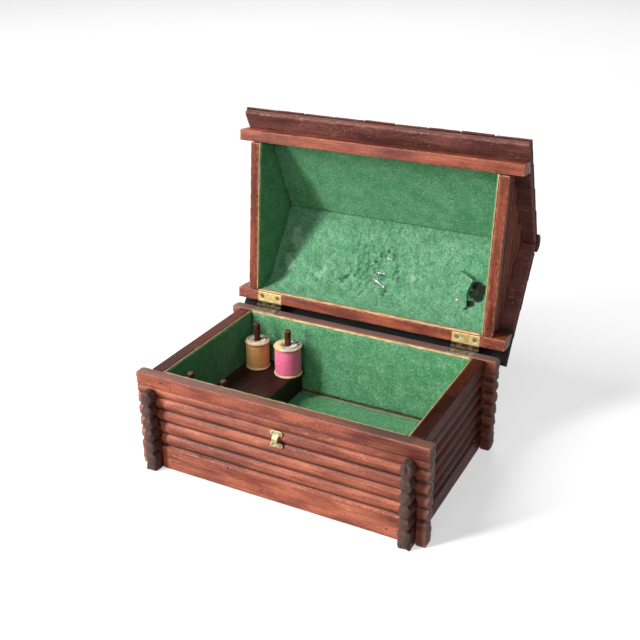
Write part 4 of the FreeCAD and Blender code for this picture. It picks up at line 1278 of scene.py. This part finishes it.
@dataclass
class Metalwork(SubAssembly):
    """Hinges, their screws and the catch keeper with its pins."""

    leaf: Ageing = Ageing(0.35, rubs=2, hollow=0.06, along=6.0, across=6.0, edge=0.12)
    small: Ageing = Ageing(0.22, rubs=2, hollow=0.03, along=4.0, across=4.0, edge=0.08)
    hinge_dark_reach: float = 4.2
    hinge_dark_share: float = 0.9

    def hinge_dark(self, place: Vector, _normal: Vector) -> float:
        """Darker brass round the knuckles, from the hinge axis outwards."""
        return self.hinge_dark_share if LID.from_axis(place) < self.hinge_dark_reach else 0.0

    def build(self) -> None:
        """Age the brass, brighter on the lid than on the box."""
        for side in ("left", "right"):
            for half, body, finish in (("lower_leaf", Body.BOX, DULL_BRASS), ("upper_leaf", Body.LID, BRIGHT_BRASS)):
                node = f"{side}_hinge_{half}"
                piece = stand(aged(node, self.leaf, sunk=self.hinge_dark), f"{node}_aged")
                self.keep(piece, body, finish, Slot.OLD_BRASS, node)
            node = f"{side}_hinge_pin"
            self.keep(stand(aged(node, self.small), f"{node}_aged"), Body.BOX, DULL_BRASS, Slot.OLD_BRASS, node)
        for node, body, finish in (("lower_hinge_screws", Body.BOX, DULL_BRASS),
                                   ("upper_hinge_screws", Body.LID, DULL_BRASS),
                                   ("catch_keeper", Body.BOX, KEEPER_BRASS), ("keeper_pins", Body.BOX, DULL_BRASS)):
            self.keep(stand(aged(node, self.small), f"{node}_aged"), body, finish, Slot.OLD_BRASS, node)


@dataclass
class LidFrame(SubAssembly):
    """Rails and carved gables of the lid."""

    wood: Ageing = Ageing(1.2)

    def build(self) -> None:
        """Age the rails and the gables."""
        for node, finish in (("front_rail", RAILS), ("rear_rail", RAILS), ("left_gable", GABLES),
                             ("right_gable", GABLES)):
            piece = stand(aged(node, self.wood, finish.grain), f"{node}_aged")
            self.keep(piece, Body.LID, finish, Slot.STAINED_PINE, node)


@dataclass
class Roof(SubAssembly):
    """Two boards of lapped shingles and the ridge cap."""

    length: float = 290.8
    eave: float = 15.5
    thick: float = 6.3
    course: float = 28.5
    rise: float = 2.2
    feather: float = 0.4
    wide: float = 32.0
    gap: float = 1.4
    ridge_wide: float = 18.0
    seed: int = 11
    most_lift: float = 0.35
    most_skew: float = 0.012
    slips: tuple[float, float] = (-0.8, 0.5)
    bedded: float = 0.2
    ragged: float = 0.45
    shingle_ease: float = 0.3
    board_ease: float = 0.7
    mitre_short: float = 0.3
    board: Ageing = Ageing(1.3, rubs=3, hollow=0.3)
    cap: Ageing = Ageing(1.0)
    # Near black painted shade on the roof boards by the hinge line: its reach from the axis, its fade and its strength
    hinge_dark_reach: float = 36.0
    painted_shade_fade: float = 8.0
    hinge_dark_share: float = 1.5
    lath: tuple[float, float, float] = (289.6, 2.6, 1.6)
    lath_at: tuple[float, float] = (1.9, 0.7)

    def hinge_dark(self, place: Vector) -> float:
        """Near black painted shade on the boards close to the hinge line, where the gap under the rear rail is in
        shadow, past 1 so that it covers the stain.
        """
        return self.hinge_dark_share * clamp((self.hinge_dark_reach - LID.from_axis(place)) / self.painted_shade_fade)

    def slope_board(self, run: float) -> Shape:
        """Board under the shingles, mitred at the ridge, in the slope's own frame.

        Args:
            run: its length from the eave to the ridge.

        Returns:
            The board.
        """
        bm = bmesh.new()
        bmesh.ops.create_cube(bm, size=1.0)
        bmesh.ops.scale(bm, vec=(self.length, run, self.thick), verts=bm.verts)
        bmesh.ops.translate(bm, vec=(0, run / 2, self.thick / 2), verts=bm.verts)
        for vert in bm.verts:
            if vert.co.y > run / 2 and vert.co.z > self.thick / 2:
                vert.co.y += self.thick * math.tan(LID.slope) - self.mitre_short
        bmesh.ops.bevel(bm, geom=bm.edges, offset=self.board_ease, offset_type="OFFSET", affect="EDGES", segments=2,
                        profile=0.5, material=-1)
        return bm

    def shingle(self, draw: random.Random, left: float, right: float, low: float, high: float) -> Shape:
        """Split one shingle, thick at its butt and eased all round, in the slope's own frame.

        Args:
            draw: source of its small differences.
            left: its left side.
            right: its right side.
            low: its butt.
            high: its top.

        Returns:
            The shingle.
        """
        bm = bmesh.new()
        bmesh.ops.create_cube(bm, size=1.0)
        bmesh.ops.subdivide_edges(bm, edges=bm.edges, cuts=4, use_grid_fill=True)
        lift = draw.uniform(0.0, self.most_lift)
        skew = draw.uniform(-self.most_skew, self.most_skew)
        slip = draw.uniform(*self.slips)
        for vert in bm.verts:
            x = left + (vert.co.x + 0.5) * (right - left)
            along = vert.co.y + 0.5
            y = low + along * (high - low) + slip * (1 - along) + skew * (x - (left + right) / 2)
            tall = self.rise + lift + (self.feather - self.rise - lift) * along
            z = self.thick - self.bedded + (vert.co.z + 0.5) * tall
            chip = noise.noise(Vector((x / 5, low + lift * 50, z / 3))) * self.ragged
            if along < 0.1:
                y += chip
            if vert.co.z > 0:
                z -= 0.25 * abs(noise.noise(Vector((x / 4, y / 12, lift * 90)))) + 0.12
            vert.co = Vector((x + chip * 0.3, y, z))
        butt = low + 0.6 * (high - low)
        corners = [edge for edge in bm.edges
                   if edge.calc_face_angle(0.0) > 1.0 and max(vert.co.y for vert in edge.verts) < butt]
        bmesh.ops.bevel(bm, geom=corners, offset=self.shingle_ease, offset_type="OFFSET", affect="EDGES", segments=2,
                        profile=0.5, material=-1, clamp_overlap=True)
        return bm

    def courses(self, draw: random.Random, edges: list[float]) -> Shape:
        """Shingles of one slope, course by course, on a lath at the eave.

        Args:
            draw: source of the shingles' small differences.
            edges: where the courses start, up the slope, and where the last one ends.

        Returns:
            All of them, in the slope's own frame.
        """
        bm = bmesh.new()
        blank = bpy.data.meshes.new("shingle")
        half = self.length / 2
        for course, (low, high) in enumerate(zip(edges, edges[1:])):
            count = 2 * int(self.length / self.wide / 2) + course % 2
            slots = [(index - (count - 1) / 2) * self.wide for index in range(count)]
            sides = [-half, *slots, half]
            for left, right in zip(sides, sides[1:]):
                split = self.shingle(draw, left + self.gap / 2 * (left > -half), right - self.gap / 2 * (right < half),
                                     low, high)
                split.to_mesh(blank)
                split.free()
                bm.from_mesh(blank)
        bpy.data.meshes.remove(blank)
        lath = bmesh.ops.create_cube(bm, size=1.0)["verts"]
        bmesh.ops.scale(bm, vec=self.lath, verts=lath)
        bmesh.ops.translate(bm, vec=(0, self.lath_at[0], self.thick + self.lath_at[1]), verts=lath)
        return bm

    def build(self) -> None:
        """Lay both slopes and set the cap."""
        run = (LID.depth / 2 + self.eave) / math.cos(LID.slope)
        last = run + self.thick * math.tan(LID.slope) - self.ridge_wide / 2 / math.cos(LID.slope) - LID.clear
        edges = [course * self.course for course in range(round(last / self.course))] + [last]
        eave_low = LID.gap / 2 + LID.rail_height - self.eave * math.tan(LID.slope)
        for node, way, finish in (("front_roof", 1, ROOF_FRONT), ("rear_roof", -1, ROOF_REAR)):
            board = self.slope_board(run)
            shingles = self.courses(random.Random(self.seed + way), edges)
            eave_back = LID.reach + LID.depth + self.eave if way > 0 else LID.reach - self.eave
            up = Vector((0, way * math.cos(LID.slope), math.sin(LID.slope)))
            out = Vector((0, -way * math.sin(LID.slope), math.cos(LID.slope)))
            place = facing(up.cross(out), up, out, Vector((0, -eave_back, eave_low)) * MM)
            for shape in (board, shingles):
                bmesh.ops.transform(shape, matrix=LID.swing() @ place @ Matrix.Scale(MM, 4), verts=shape.verts)
                bmesh.ops.recalc_face_normals(shape, faces=shape.faces)
            # The boards are painted near black by the hinge line: painted shade in the gap under the rear rail
            board = weathered(board, self.board, darkness=self.hinge_dark)
            self.keep(stand(board, f"{node}_board"), Body.LID, ROOF_BOARD, Slot.ROOF_WOOD, node)
            self.keep(stand(shingles, f"{node}_shingles", smooth=False), Body.LID, finish, Slot.ROOF_WOOD, node)
        cap = stand(aged("ridge_cap", self.cap), "ridge_cap_aged")
        self.keep(cap, Body.LID, RIDGE, Slot.ROOF_WOOD, "ridge_cap")


@dataclass
class LidLining(SubAssembly):
    """Felt inside the lid: front slope, gables, and the stuffed rear slope used as a pin cushion.

    Places on the pad are millimetres along the ridge and up the slope. A spot has a radius, and a lump a size and a
    rise.
    """

    pad_start: float = -114.7
    pad_length: float = 158.0
    crown: float = 5.0
    step: float = 2.4
    frames: int = 20
    pressure: float = 4.0
    fill: float = 0.45
    strip: float = 5.6
    tuck: float = 12.0
    sewn: float = 2.0
    ease_in: tuple[float, float] = (12.0, 6.0)
    front_margins: Margins = (0.4, 0.4, 1.5, 0.3)
    gable_margins: Margins = (0.3, 0.3, 0.9, 0.9)
    gable_foot: float = 0.6
    ledge_foot: float = 0.4
    ledge_card: float = 0.6
    ledge_ragged: float = 0.5
    ledge_short: float = 4.0
    ledge_rows: int = 12
    ledge_thick: float = 0.8
    worked_at: tuple[float, float] = (-10.0, 36.0)
    worked_spread: tuple[float, float] = (34.0, 28.0)
    coarse_lumps: float = 3.2
    small_lumps: float = 2.4
    frayed: float = 2.2
    tear_deep: float = 1.2
    pit_deep: float = 0.9
    crease_deep: float = 1.4
    seam_wide: float = 2.2
    lumps: tuple[tuple[float, float, float, float], ...] = (
        (-93.0, 32.0, 13.0, 1.6), (-84.0, 8.0, 10.0, 1.2), (-37.5, 22.5, 5.0, -1.8),
        (9.3, 12.0, 6.0, -1.4), (-0.1, 64.8, 6.0, -1.5), (-60.0, 15.0, 9.0, 1.0), (-20.0, 40.0, 12.0, 0.9))
    bump: Spots = ((34.8, 33.0, 5.4),)
    bump_rise: float = 1.5
    tears: Spots = ((101.0, 38.0, 6.0), (106.5, 35.0, 6.5), (104.0, 28.0, 6.5), (98.0, 29.0, 4.5), (98.5, 20.0, 4.5))
    stains: Spots = (
        (-105.0, 62.0, 6.0), (-103.0, 53.0, 7.0), (-101.0, 46.0, 4.0), (-106.0, 33.0, 5.0), (-103.0, 26.0, 6.5),
        (-99.0, 22.0, 5.0), (-66.0, 20.0, 5.0), (-62.0, 28.0, 4.0), (34.8, 33.0, 5.0))
    pits: Spots = (
        (2.5, 57.0, 2.52), (4.5, 62.0, 2.24), (1.0, 52.0, 1.96), (-4.0, 50.5, 2.38), (-9.0, 44.0, 2.24),
        (-12.5, 40.0, 1.96), (-8.0, 37.0, 1.68), (8.5, 16.0, 2.24), (7.0, 12.0, 2.38), (9.5, 9.0, 1.96),
        (-37.0, 23.0, 3.08), (-39.5, 19.5, 2.52), (-34.5, 26.0, 2.1), (14.0, 45.0, 1.68), (17.0, 38.0, 1.68),
        (-27.0, 58.0, 1.54), (83.5, 50.0, 1.82), (86.5, 48.6, 1.96), (89.5, 47.2, 2.1), (92.5, 45.8, 2.24),
        (95.5, 44.4, 2.38))

    def build(self) -> None:
        """Line the front slope and the gables, then stuff the pad."""
        long = LID.slope_length
        place = LID.slope_frame(1.0) @ Matrix.Translation((0, long / 2 * MM, 0))
        Panel("front_slope_lining", Body.LID, place, (2 * LID.half_length, long), self.front_margins).build(self)
        self.gables()
        self.ledge()
        self.pad()

    def gables(self) -> None:
        """Felt on the two gables, trimmed to the roof's slopes."""
        skin = LID.felt / math.cos(LID.slope) + 3 * LID.clear
        first = LID.reach + LID.rail_depth + LID.clear
        last = LID.reach + LID.depth - LID.rail_depth - LID.clear
        foot = LID.gap / 2 + self.gable_foot
        top = LID.under(LID.reach + LID.depth / 2) - skin
        half_tall = (top - foot) / 2
        for node, side in (("left_gable_lining", -1.0), ("right_gable_lining", 1.0)):
            normal = Vector((-side, 0, 0))
            across = Vector((0, -1, 0))
            up = normal.cross(across)
            middle = Vector((side * (LID.half_length + LID.clear), -(first + last) / 2, (foot + top) / 2))
            place = LID.swing() @ facing(across, up, normal, middle * MM)
            trims = tuple((Vector((0, up.z * half_tall, 0)),
                           Vector((way * math.sin(LID.slope), up.z * math.cos(LID.slope), 0))) for way in (-1.0, 1.0))
            Panel(node, Body.LID, place, (last - first, top - foot), self.gable_margins, trims=trims).build(self)

    def ledge(self) -> None:
        """Card on the rear rail's inner side, and felt stretched from the pad down to it over the stuffing."""
        back = LID.reach + LID.rail_depth
        tall = LID.under(back) - LID.gap / 2 - LID.felt
        wide = 2 * LID.half_length - self.ledge_short
        middle = Vector((0, -back, LID.gap / 2 + self.ledge_foot + tall / 2))
        place = LID.swing() @ facing(Vector((1, 0, 0)), Vector((0, 0, 1)), Vector((0, -1, 0)), middle * MM)
        backing = Panel("rear_ledge", Body.LID, place, (wide, tall))
        board = backing.sheet(FLUSH, backing.card_from, self.ledge_card, self.ledge_ragged)
        card = stand(board, "rear_ledge_card")
        self.keep(card, Body.LID, RAW_CARD)
        low = Vector((back + 1.0, LID.gap / 2 + self.strip))
        far = back + self.tuck * math.cos(LID.slope)
        high = Vector((far, LID.under(far) - LID.felt))
        corner = Vector((back + 1.2, LID.under(back + 1.2) - 2.2))
        pull = corner.lerp((low + high) / 2, 0.5)
        bm = bmesh.new()
        bmesh.ops.create_grid(bm, x_segments=round(wide / self.step), y_segments=self.ledge_rows, size=0.5)
        for vert in bm.verts:
            along = vert.co.y + 0.5
            x = vert.co.x * wide
            spot = low.lerp(pull, along).lerp(pull.lerp(high, along), along)
            ragged = 0.7 * abs(noise.noise(Vector((x / 4, 2.2, 0.4)))) * (1 - along) ** 4
            sag = 0.9 * noise.noise(Vector((x / 14, along * 2, 6.1))) * along * (1 - along) * 4
            vert.co = Vector((x, -spot.x - sag, spot.y + ragged))
        area = sum(face.calc_area() for face in bm.faces) * MM * MM
        bmesh.ops.solidify(bm, geom=bm.faces, thickness=self.ledge_thick)
        bmesh.ops.recalc_face_normals(bm, faces=bm.faces)
        bmesh.ops.transform(bm, matrix=LID.swing() @ Matrix.Scale(MM, 4), verts=bm.verts)
        felt = self.keep(stand(bm, "rear_ledge_felt"), Body.LID, PAD_FELT, Slot.GREEN_FELT)

    def pad(self) -> None:
        """Stuffed felt on the rear slope, swelled by simulation and then lumped and dented."""
        long = LID.slope_length
        wide = 2 * LID.half_length
        bm = bmesh.new()
        bmesh.ops.create_grid(bm, x_segments=round(wide / self.step), y_segments=round(long / self.step), size=0.5)
        bmesh.ops.scale(bm, vec=(wide, long, 1.0), verts=bm.verts)
        bmesh.ops.translate(bm, vec=(0, long / 2, LID.felt), verts=bm.verts)
        bmesh.ops.solidify(bm, geom=bm.faces, thickness=LID.felt - 0.1)
        bmesh.ops.recalc_face_normals(bm, faces=bm.faces)
        bmesh.ops.scale(bm, vec=(MM, MM, MM), verts=bm.verts)
        pad = stand(bm, "rear_slope_pad_felt")
        held = pad.vertex_groups.new(name="held")
        for vert in pad.data.vertices:
            x, y, z = vert.co / MM
            free = self.pad_start < x < self.pad_start + self.pad_length and self.sewn < y < long - self.sewn
            if not free or z < LID.felt * 0.5:
                held.add([vert.index], 1.0, "REPLACE")
        self.swell(pad)
        fine = bmesh.new()
        fine.from_mesh(pad.data)
        bmesh.ops.subdivide_edges(fine, edges=fine.edges, cuts=1, use_grid_fill=True)
        fine.to_mesh(pad.data)
        fine.free()
        self.lump(pad)
        pad.data.transform(LID.slope_frame(-1.0))
        self.keep(pad, Body.LID, PAD_FELT, Slot.GREEN_FELT, "rear_slope_pad")

    def swell(self, pad: Piece) -> None:
        """Blow the pad up with cloth pressure, capped at its crown, and keep the result.

        Args:
            pad: flat pad with a group of held vertices.
        """
        rest = [vert.co.copy() for vert in pad.data.vertices]
        cloth = pad.modifiers.new("stuffing", "CLOTH")
        settings = cloth.settings
        settings.quality = 6
        settings.mass = 0.1
        settings.tension_stiffness = settings.compression_stiffness = 6.0
        settings.bending_stiffness = 0.2
        settings.use_pressure = True
        settings.uniform_pressure_force = self.pressure
        settings.effector_weights.gravity = 0.0
        settings.vertex_group_mass = "held"
        scene = bpy.context.scene
        for step in range(1, self.frames + 1):
            scene.frame_set(step)
        swollen = pad.evaluated_get(bpy.context.evaluated_depsgraph_get()).data
        moved = [vert.co - old for vert, old in zip(swollen.vertices, rest)]
        pad.modifiers.remove(cloth)
        scene.frame_set(1)
        most = max(move.z for move in moved)
        LOG.info("pad swelled by %.1f mm", most / MM)
        share = min(1.0, self.crown * 0.9 * MM / most) if most > 0 else 0.0
        for vert, old, move in zip(pad.data.vertices, rest, moved):
            vert.co = old + move * share

    def within(self, spots: Spots, x: float, y: float) -> float:
        """How far inside the nearest of some round spots a place is, in millimetres."""
        return max(radius - math.hypot(x - px, y - py) for px, py, radius in spots)

    def lump(self, pad: Piece) -> None:
        """Push lumps and dents into the pad's face, stain it, and sink it to the board where the felt is torn. The torn
        hole, the pits and the creases are painted near black as shade, and the upper seam is darkened.

        Args:
            pad: swelled pad, still flat on its slope's frame.
        """
        long = LID.slope_length
        pad_end = self.pad_start + self.pad_length
        tear_and_shade = pad.data.attributes.new("tear_and_shade", "FLOAT", "POINT")
        stain = pad.data.attributes.new("stain", "FLOAT", "POINT")
        for vert in pad.data.vertices:
            x, y, z = vert.co / MM
            if z < LID.felt * 0.5:
                continue
            fray = self.frayed * noise.noise(Vector((x / 2.6, y / 2.6, 7.7)))
            reach = self.within(self.tears, x, y) + 0.35 * fray
            pit = self.within(self.pits, x, y) + fray
            spill = self.within(self.stains, x, y) + 1.6 * fray
            aside = (x - self.worked_at[0]) / self.worked_spread[0]
            along = (y - self.worked_at[1]) / self.worked_spread[1]
            worked = 0.3 + 0.7 * math.exp(-aside ** 2 - along ** 2)
            crease = max(0.0, 1 - abs(noise.noise(Vector((x / 9, y / 7, 3.3)))) / 0.08) * worked
            broken = clamp(0.5 + 2 * noise.noise(Vector((x / 9, 0, 0))))
            seam = 0.7 * max(0.0, 1 - (long - y) / self.seam_wide) * broken
            # Painted shade: near black in the torn hole, the pits and the creases; a dark line along the upper seam
            tear_and_shade.data[vert.index].value = clamp(max(reach, min(0.8, pit * 0.5), crease * 0.55, seam))
            stain.data[vert.index].value = clamp(spill / 3, high=0.6)
            inside = (clamp(min(x - self.pad_start, pad_end - x) / self.ease_in[0])
                      * clamp(min(y, long - y) / self.ease_in[1]))
            push = sum(rise * math.exp(-((x - px) ** 2 + (y - py) ** 2) / (2 * size ** 2))
                       for px, py, size, rise in self.lumps)
            coarse, small = noise.noise(Vector((x / 8, y / 8, 1.3))), noise.noise(Vector((x / 4, y / 4, 8.1)))
            push += worked * (self.coarse_lumps * coarse + self.small_lumps * small)
            push -= self.crease_deep * crease + self.pit_deep * clamp(pit, high=2.0)
            bump = self.bump_rise * clamp(self.within(self.bump, x, y))
            floor = 0.5 if reach > 0 else LID.felt * 0.8
            vert.co.z = max(floor * MM, vert.co.z + (push * inside + bump - self.tear_deep * clamp(reach)) * MM)


@dataclass
class TornFelt(SubAssembly):
    """Torn flap of felt held by a tack at the pad's right, and the pins left in the pad."""

    wide: float = 20.0
    long: float = 36.0
    left: float = 77.4
    climb: float = 12.5
    thick: float = 1.2
    curl: float = 0.013
    off: float = 0.3
    around: float = 2.5
    point_share: float = 0.55
    head_share: float = 1.35
    head_flat: float = 0.8
    corners: tuple[tuple[float, float], ...] = ((0.0, 0.23), (0.77, 0.0), (0.94, 0.07), (0.79, 0.4), (0.82, 0.54),
                                                (1.0, 0.81), (0.3, 1.0))
    tack: tuple[float, float] = (0.37, 0.26)
    small: Ageing = Ageing(0.2, rubs=2, hollow=0.02, along=2.0, across=2.0, edge=0.08)
    pins: tuple[tuple[tuple[float, float, float], tuple[float, float, float], float], ...] = (
        ((7.0, 19.6, 0.9), (-11.6, 28.8, 0.5), 1.05), ((4.6, 32.3, 1.5), (-7.9, 33.2, 1.3), 0.65),
        ((8.4, 48.4, 1.3), (1.5, 49.3, 1.1), 0.65))

    def build(self) -> None:
        """Cut the flap, curl it off the felt, press in the tack and draw the pins."""
        self.flap()
        tack = stand(aged("tab_tack", self.small), "tab_tack_aged")
        self.keep(tack, Body.LID, KEEPER_BRASS, Slot.PIN_STEEL, "tab_tack")
        self.keep(self.drawn_pins(), Body.LID, PIN_STEEL, Slot.PIN_STEEL, "sewing_pins")

    def flap(self) -> None:
        """Flap of felt that rises from its tack towards its torn edge."""
        bm = bmesh.new()
        ring = [bm.verts.new((across * self.wide, along * self.long, 0.0)) for across, along in self.corners]
        bm.faces.new(ring)
        bmesh.ops.triangulate(bm, faces=bm.faces)
        for _ in range(3):
            bmesh.ops.subdivide_edges(bm, edges=bm.edges, cuts=1, use_grid_fill=True)
        for vert in bm.verts:
            across, along = vert.co.x / self.wide, vert.co.y / self.long
            away = math.hypot((across - self.tack[0]) * self.wide, (along - self.tack[1]) * self.long)
            curl = self.curl * away ** 2 * (0.35 + 0.65 * across)
            vert.co.z = LID.felt + self.off + curl + 0.5 * noise.noise(Vector((vert.co.x / 6, vert.co.y / 6, 2.0)))
            vert.co.x += self.left
            vert.co.y += self.climb
        area = sum(face.calc_area() for face in bm.faces) * MM * MM
        bmesh.ops.solidify(bm, geom=bm.faces, thickness=-self.thick)
        bmesh.ops.recalc_face_normals(bm, faces=bm.faces)
        bmesh.ops.transform(bm, matrix=LID.slope_frame(-1.0) @ Matrix.Scale(MM, 4), verts=bm.verts)
        flap = stand(bm, "felt_tab_torn")
        soft = flap.modifiers.new("soft", "SUBSURF")
        soft.levels = soft.render_levels = 1
        self.keep(flap, Body.LID, PAD_FELT, Slot.GREEN_FELT, "felt_tab")

    def above(self, face: list[Vector], spot: Vector) -> Vector:
        """Lift a spot by the height of the pad's face there."""
        near = [vert.z for vert in face if math.hypot(vert.x - spot.x, vert.y - spot.y) < self.around]
        return spot + Vector((0.0, 0.0, max(near)))

    def drawn_pins(self) -> Piece:
        """Pins left in the pad: shank, point and head, from the head down into the stuffing.

        Returns:
            All the pins as one piece.
        """
        bm = bmesh.new()
        slope = LID.slope_frame(-1.0) @ Matrix.Scale(MM, 4)
        face = [slope.inverted() @ vert.co for vert in bpy.data.objects["rear_slope_pad_felt"].data.vertices]
        for head, point, radius in self.pins:
            start, finish = (self.above(face, Vector(end)) for end in (head, point))
            aim = (finish - start).to_track_quat("Z", "Y").to_matrix().to_4x4()
            shank = slope @ Matrix.Translation((start + finish) / 2) @ aim
            bmesh.ops.create_cone(bm, cap_ends=True, segments=12, radius1=radius, radius2=radius * self.point_share,
                                  depth=(finish - start).length, matrix=shank)
            ball = slope @ Matrix.Translation(start) @ Matrix.Diagonal((1, 1, self.head_flat, 1))
            bmesh.ops.create_uvsphere(bm, u_segments=12, v_segments=8, radius=radius * self.head_share, matrix=ball)
        return stand(bm, "sewing_pins_drawn")


@dataclass
class Nails(SubAssembly):
    """Small nail heads, as the maker left them."""

    radius: float = 0.9
    half_tall: float = 0.35
    proud: float = 0.12
    front: tuple[tuple[float, float], ...] = ((-48.2, 21.5), (-12.8, 8.7), (107.4, 7.9), (-108.7, 9.3),
                                              (-116.1, 91.1), (-105.8, 87.0))
    rim: tuple[tuple[float, float], ...] = ((-128.1, -60.2), (-129.6, -51.9))
    gable: tuple[tuple[float, float], ...] = ((126.2, 153.2), (127.4, 141.6), (128.6, 87.0), (126.6, 23.3),
                                              (129.3, 6.3))

    def heads(self, name: str, places: list[Matrix]) -> Piece:
        """Flattened heads in the wood.

        Args:
            name: name of the piece.
            places: where they are, each with its Z axis pointing out of the wood.

        Returns:
            All the heads as one piece.
        """
        bm = bmesh.new()
        squash = Matrix.Diagonal((self.radius * MM, self.radius * MM, self.half_tall * MM, 1.0))
        sink = Matrix.Translation((0.0, 0.0, (self.proud - self.half_tall) * MM))
        for place in places:
            bmesh.ops.create_uvsphere(bm, u_segments=12, v_segments=8, radius=1.0, matrix=place @ sink @ squash)
        bmesh.ops.recalc_face_normals(bm, faces=bm.faces)
        return stand(bm, name)

    def build(self) -> None:
        """Set the nails of the box and of the lid."""
        outward = Matrix.Rotation(math.radians(90), 4, "X")
        box = [Matrix.Translation(Vector((x, -BOX_DEEP / 2, z)) * MM) @ outward for x, z in self.front]
        box += [Matrix.Translation(Vector((x, y, BOX_TALL)) * MM) for x, y in self.rim]
        self.keep(self.heads("box_nails", box), Body.BOX, NAIL_IRON)
        down = Matrix.Rotation(math.radians(180), 4, "X")
        lid = [LID.swing() @ Matrix.Translation(Vector((x, -back, LID.gap / 2)) * MM) @ down for x, back in self.gable]
        self.keep(self.heads("lid_nails", lid), Body.LID, NAIL_IRON)


def main() -> None:
    """Build and dress every sub-assembly in order."""
    logging.basicConfig(level=logging.INFO, format="%(message)s")
    noise.seed_set(EDGE_SEED)
    tan = Spool("tan", Body.TAN, TAN_COTTON, Slot.TAN_COTTON, "#C2606C", ((6.2, 0.6), (8.8, 1.3)))
    pink = Spool("pink", Body.PINK, PINK_COTTON, Slot.PINK_COTTON, "#2C3652", ((6.4, 0.7), (8.6, 0.7), (10.6, 1.8)),
                 bare_left=-1.0)
    for part in (Studio(), Carcass(), BoxLining(), SpoolShelf(), tan, pink, Metalwork(), LidFrame(), Roof(),
                 LidLining(), TornFelt(), Nails()):
        part.build()
        part.dress()


if __name__ == "__main__":
    main()
